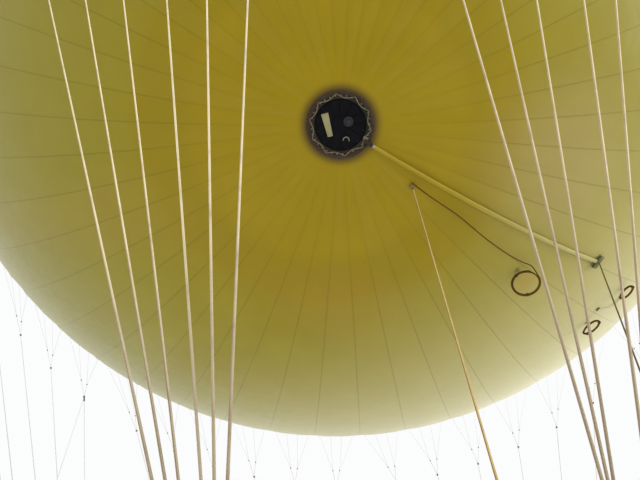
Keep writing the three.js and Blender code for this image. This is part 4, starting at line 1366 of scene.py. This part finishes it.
class BALLOON_OT_ring_fittings(BalloonOperator, bpy.types.Operator):
    """Bolt the load ring together and fit its load cell, swivel and stays"""

    bl_idname = "balloon.ring_fittings"
    bl_label = "Ring fittings"

    def execute(self, context):
        joint = turned(FIRST_LUG + 22.5, RING_FLAT + 0.0035, (RING_TOP + RING_BOTTOM) / 2)
        plate = add_box((0.12, 0.006, 0.08), joint, 0.002, 1)
        fit("ring_joint_plates", [plate], "balloon", "steel", copies=LUG_COUNT)
        spots = [joint @ shift(x, 0.007, z) @ ALONG_Y for x in (-0.042, 0.042) for z in (-0.022, 0.022)]
        bolts = [add_bolt(0.009, 0.009, spot) for spot in spots]
        fit("ring_joint_bolts", bolts, "balloon", "bolt", copies=LUG_COUNT)

        bolt = add_bolt(0.01, 0.01, turned(22.5, 0.088, RING_TOP + 0.0045), 0.002)
        fit("hub_bolts", [bolt], "balloon", "bolt", copies=8)
        cap = add_cylinder(0.05, 0.016, shift(0, 0, RING_TOP + 0.0075), 32, 0.004, 3)
        fit("hub_cap", [cap], "balloon", "aluminium")

        parts = [add_ring(0.0715, 0.004, shift(0, 0, CELL_TOP - drop), 48, 8) for drop in (0.03, 0.15)]
        socket = turned(45, 0.083, CELL_TOP - 0.09) @ ALONG_Y
        parts.append(add_cylinder(0.014, 0.03, socket, 20, 0.003))
        parts.append(add_ring(0.014, 0.003, socket @ shift(0, 0, -0.012), 20, 6))
        fit("load_cell_bands", parts, "balloon", "bolt")

        flange_top = CELL_TOP - 0.18 - 0.006 - 0.17 + 0.024
        bolt = add_bolt(0.0075, 0.009, turned(0, 0.081, flange_top + 0.004))
        fit("swivel_bolts", [bolt], "swivel", "bolt", copies=8)
        parts = [add_ring(0.0665, 0.003, shift(0, 0, flange_top + rise), 40, 6) for rise in (0.05, 0.1)]
        nipple = turned(0, 0.070, flange_top + 0.075) @ ALONG_Y
        parts.append(add_cylinder(0.005, 0.012, nipple, 8, 0.001, 1))
        fit("swivel_seals", parts, "swivel", "boss")

        foot = at(FIRST_LUG, RAIL_INNER, RAIL_TOP + 0.014)
        lean = 180 - math.degrees(math.atan2(RAIL_INNER - LUG_RADIUS, LOWER_LUG_HEIGHT - RAIL_TOP))
        crown = turned(FIRST_LUG, LUG_RADIUS, LOWER_LUG_HEIGHT, lean) @ Vector((0, 0, CROWN_HEIGHT))
        way = (crown - foot).normalized()
        parts = [add_cylinder(0.015, 0.16, aligned(foot.lerp(crown, 0.3), way), 12, 0.004)]
        for share in (0.19, 0.41):
            parts.append(add_bolt(0.0145, 0.014, aligned(foot.lerp(crown, share), way), 0.002))
        fit("stay_turnbuckles", parts, "balloon", "bolt", copies=LUG_COUNT)
        spots = [turned(FIRST_LUG, RAIL_INNER, RAIL_TOP + 0.017) @ shift(x, 0, 0) for x in (-0.026, 0.026)]
        bolts = [add_bolt(0.007, 0.008, spot) for spot in spots]
        fit("stay_foot_bolts", bolts, "balloon", "bolt", copies=LUG_COUNT)
        return {"FINISHED"}


# Netting and fittings of the gondola

DECK_BAYS = 24
BAY_AZIMUTH = 7.5
FRAME_BOTTOM = DECK_TOP - 0.1703
FOOT_RADIUS = 2.8
FENDER_RADIUS, FENDER_DROP = 2.9351, 0.1003
GATE_RADIUS = 2.8187


def netting(radius, low, high, azimuth, spans, angle, cord):
    """Flat panels of diamond netting between the posts of a rail"""
    piece = draw_line([at(azimuth, radius, low), at(azimuth, radius, high)])
    spin_open(spans, angle)
    bpy.ops.mesh.select_all(action="SELECT")
    bpy.ops.mesh.remove_doubles(threshold=1e-5)
    bpy.ops.mesh.select_all(action="SELECT")
    bpy.ops.mesh.subdivide(number_cuts=7)
    bpy.ops.object.mode_set(mode="OBJECT")
    diamonds(piece, cord)
    return piece


class BALLOON_OT_gondola(BalloonOperator, bpy.types.Operator):
    """Fit the gondola's netting, kick board, deck strips, straps and foot plates"""

    bl_idname = "balloon.gondola"
    bl_label = "Gondola fittings"

    def execute(self, context):
        cord = context.scene.balloon_ropes.netting
        seam = FIRST_LUG + 11.25
        top = RAIL_TOP - 0.045
        inner = netting(RAIL_INNER - 0.0245, DECK_TOP + 0.13, top, seam, 16, 2 * math.pi, cord)
        fit("inner_rail_netting", [inner], "balloon", "net", smooth=60)
        for number, gate in ((1, 90), (2, 270)):
            start = gate + GATE_HALF_ANGLE
            angle = math.radians(180 - 2 * GATE_HALF_ANGLE)
            outer = netting(RAIL_OUTER + 0.0235, DECK_TOP + 0.17, top, start, 10, angle, cord)
            fit(f"outer_rail_{number}_netting", [outer], "balloon", "net", smooth=60)

        low, high = DECK_TOP + 0.0005, DECK_TOP + 0.12
        profile = [(1.226, low), (1.232, low), (1.232, high), (1.226, high), (1.226, low)]
        board = lathe(profile, 16, seam)
        fit("inner_kick_board", [board], "balloon", "aluminium", smooth=20)

        strip = add_box((0.04, 1.38, 0.003), turned(BAY_AZIMUTH, 2.045, DECK_TOP + 0.0018), 0.001, 1)
        fit("deck_strips", [strip], "balloon", "steel", copies=DECK_BAYS)
        screws = []
        for radius in (1.40, 1.83, 2.26, 2.69):
            place = turned(BAY_AZIMUTH, radius, DECK_TOP + 0.0045)
            screws.append(add_cylinder(0.007, 0.003, place, 10, 0.001, 1))
        for azimuth in (3.0, 12.0):
            screws.append(add_bolt(0.009, 0.004, turned(azimuth, 2.79, DECK_TOP + 0.002), 0.001))
        fit("deck_screws", screws, "balloon", "bolt", copies=DECK_BAYS)

        strap_place = turned(BAY_AZIMUTH, FENDER_RADIUS, DECK_TOP - FENDER_DROP) @ ALONG_X
        strap = add_ring(0.0655, 0.0045, strap_place, 24, 6)
        fit("fender_straps", [strap], "balloon", "steel", copies=DECK_BAYS)

        plate = add_cylinder(0.115, 0.012, turned(0, FOOT_RADIUS, FRAME_BOTTOM - 0.0063), 32, 0.003)
        fit("foot_plates", [plate], "balloon", "steel", copies=8)
        pad = add_ring(0.088, 0.008, turned(0, FOOT_RADIUS, FRAME_BOTTOM - 0.09), 32, 8)
        fit("foot_pads", [pad], "balloon", "rubber", copies=8)
        return {"FINISHED"}


class BALLOON_OT_gates(BalloonOperator, bpy.types.Operator):
    """Fit each gate's latch and the keeper on the post beside it"""

    bl_idname = "balloon.gates"
    bl_label = "Gate latches"

    def execute(self, context):
        for number, azimuth, body in ((1, 90, "right_gate"), (2, 270, "left_gate")):
            name = f"gate_{number}"
            place = turned(azimuth, GATE_RADIUS, RAIL_TOP - 0.14)
            case = add_box((0.034, 0.02, 0.10), place @ shift(0.357, -0.0285, 0), 0.004)
            tongue = add_box((0.026, 0.012, 0.02), place @ shift(0.386, 0, 0), 0.002, 1)
            fit(f"{name}_latch", [case, tongue], body, "bolt")
            knob_place = place @ shift(0.357, -0.055, 0.02) @ ALONG_Y
            stem = add_cylinder(0.006, 0.036, knob_place, 12)
            knob = add_cylinder(0.015, 0.016, knob_place @ shift(0, 0, 0.022), 20, 0.005, 3)
            fit(f"{name}_knob", [stem, knob], body, "handle")
            keeper = add_box((0.03, 0.014, 0.06), place @ shift(0.4213, -0.0245, 0), 0.003)
            fit(f"{name}_keeper", [keeper], "balloon", "bolt")
            post = turned(azimuth, GATE_RADIUS, RAIL_TOP + 0.002)
            caps = [add_box((0.036, 0.036, 0.004), post @ shift(x, 0, 0), 0.0015, 1) for x in (-0.351, 0.357)]
            fit(f"{name}_caps", caps, body, "rubber")
        return {"FINISHED"}


class BALLOON_OT_control_box(BalloonOperator, bpy.types.Operator):
    """Fit the control box's door, hinges, hanging straps, gland, knobs and levers"""

    bl_idname = "balloon.control_box"
    bl_label = "Control box"

    def execute(self, context):
        top = RAIL_TOP - 0.06
        face = turned(CONTROL_AZIMUTH, 1.494, top - 0.13)
        door = add_box((0.28, 0.008, 0.22), face @ shift(0, 0.0043, 0), 0.003, 3)
        outward = face.to_3x3() @ Vector((0, 1, 0))
        press_panel(
            door, lambda side: side.normal.dot(outward) > 0.99 and side.calc_area() > 0.01, (0.02, -0.003)
        )
        fit("control_door", [door], "balloon", "casing")

        parts = []
        for z in (-0.075, 0.075):
            parts.append(add_cylinder(0.007, 0.04, face @ shift(-0.148, 0.008, z), 14, 0.001, 1))
        for x in (-0.11, 0.11):
            strap = turned(CONTROL_AZIMUTH, 1.2725, top + 0.014) @ shift(x, 0, 0)
            parts.append(add_box((0.03, 0.003, 0.09), strap, 0.001, 1))
            hook = turned(CONTROL_AZIMUTH, 1.245, RAIL_TOP + 0.0025) @ shift(x, 0, 0)
            parts.append(add_box((0.03, 0.058, 0.004), hook, 0.0015, 1))
        parts.append(add_ring(0.018, 0.005, turned(CONTROL_AZIMUTH, CONTROL_RADIUS, top + 0.005), 28, 8))
        fit("control_fittings", parts, "balloon", "bolt")

        knobs = []
        for x in (0.1, 0.04):
            knobs.append(add_cylinder(0.016, 0.022, face @ shift(x, 0.018, 0) @ ALONG_Y, 24, 0.005, 3))
        for x in (-0.09, 0.09):
            stem = turned(CONTROL_AZIMUTH, 1.45, top + 0.035) @ shift(x, 0, 0)
            knobs.append(add_cylinder(0.006, 0.07, stem, 12))
            knobs.append(add_cylinder(0.013, 0.03, stem @ shift(0, 0, 0.045), 20, 0.006, 3))
        fit("control_knobs", knobs, "balloon", "handle")
        return {"FINISHED"}


# The crown valve


class BALLOON_OT_crown_valve(BalloonOperator, bpy.types.Operator):
    """Fit the crown valve's ribs, flange bolts and rain skirt"""

    bl_idname = "balloon.crown_valve"
    bl_label = "Crown valve"

    def execute(self, context):
        flange_top, plate_top = -COLLAR_BOTTOM, -LID_BOTTOM
        bolt = add_bolt(0.009, 0.009, turned(5.625, 0.478, flange_top + 0.004))
        fit("crown_bolts", [bolt], "balloon", "bolt", copies=32)
        parts = [
            add_ring(BEAD_RADIUS, 0.008, shift(0, 0, plate_top + 0.004), 72, 8),
            add_cylinder(0.08, 0.02, shift(0, 0, plate_top + 0.0095), 32, 0.005, 3),
        ]
        for n in range(12):
            parts.append(add_box((0.014, 0.28, 0.012), turned(30 * n, 0.225, plate_top + 0.004), 0.003))
        fit("crown_plate_ribs", parts, "crown_valve", "valve_plate")
        skirt = lathe([(0.506, 11.0), (0.56, 10.999), (0.64, 10.992), (0.70, 10.984)], 96)
        thicken(skirt, 0.003, 1.0)
        fit("crown_skirt", [skirt], "balloon", "patch", smooth=60)
        hoops = ((0.53, 11.004), (0.685, 10.9895))
        stitches = [add_ring(radius, 0.0025, shift(0, 0, z), 96, 6) for radius, z in hoops]
        fit("crown_skirt_stitching", stitches, "balloon", "net", smooth=60)
        return {"FINISHED"}


# The frame's own nodes

NODE_FINISHES = {
    "steel": ["load_ring", "tether_swivel", "gondola_underframe", *[f"stay_{n}" for n in range(1, 9)]],
    "aluminium": ["load_cell", "inner_rail", "crown_collar"],
    "collar": ["valve_collar", "fill_port"],
    "valve_plate": ["valve_lid", "crown_lid"],
    "white": ["outer_rail_1", "outer_rail_2", "gate_1", "gate_2"],
    "rubber": ["gondola_fender"],
    "casing": ["control_box"],
    "deck": ["gondola_deck"],
}


class BALLOON_OT_frame_finishes(BalloonOperator, bpy.types.Operator):
    """Give every kept node of the frame its own finish"""

    bl_idname = "balloon.frame_finishes"
    bl_label = "Frame finishes"

    def execute(self, context):
        for name, nodes in NODE_FINISHES.items():
            for node in nodes:
                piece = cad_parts[node]
                if not piece.material_slots:
                    piece.data.materials.append(finish(name))
                for slot in piece.material_slots:
                    slot.material = finish(name)
        return {"FINISHED"}


SETTINGS = {
    "balloon_envelope": BalloonEnvelope,
    "balloon_ropes": BalloonRopes,
    "balloon_stage": BalloonStage,
    "balloon_colours": BalloonColours,
}
OPERATORS = (
    BALLOON_OT_stage,
    BALLOON_OT_spare_rope,
    BALLOON_OT_envelope,
    BALLOON_OT_net,
    BALLOON_OT_suspension,
    BALLOON_OT_bottom_valve,
    BALLOON_OT_fill_sleeve,
    BALLOON_OT_lines,
    BALLOON_OT_ring_fittings,
    BALLOON_OT_gondola,
    BALLOON_OT_gates,
    BALLOON_OT_control_box,
    BALLOON_OT_crown_valve,
    BALLOON_OT_frame_finishes,
)


class BALLOON_PT_sidebar(bpy.types.Panel):
    """The balloon's pieces and settings"""

    bl_label = "Tethered gas balloon"
    bl_idname = "BALLOON_PT_sidebar"
    bl_space_type = "VIEW_3D"
    bl_region_type = "UI"
    bl_category = "Balloon"

    def draw(self, context):
        for operator in OPERATORS:
            self.layout.operator(operator.bl_idname)
        for name in SETTINGS:
            settings = getattr(context.scene, name)
            column = self.layout.column(align=True)
            for key in settings.bl_rna.properties.keys():
                if key not in ("rna_type", "name"):
                    column.prop(settings, key)


def register():
    for name, group in SETTINGS.items():
        bpy.utils.register_class(group)
        setattr(bpy.types.Scene, name, bpy.props.PointerProperty(type=group))
    for shown in (*OPERATORS, BALLOON_PT_sidebar):
        bpy.utils.register_class(shown)


def unregister():
    for shown in (BALLOON_PT_sidebar, *reversed(OPERATORS)):
        bpy.utils.unregister_class(shown)
    for name, group in SETTINGS.items():
        delattr(bpy.types.Scene, name)
        bpy.utils.unregister_class(group)


def main():
    register()
    for operator in OPERATORS:
        group, name = operator.bl_idname.split(".")
        getattr(getattr(bpy.ops, group), name)()
    clear_selection()
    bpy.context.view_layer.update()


if __name__ == "__main__":
    main()
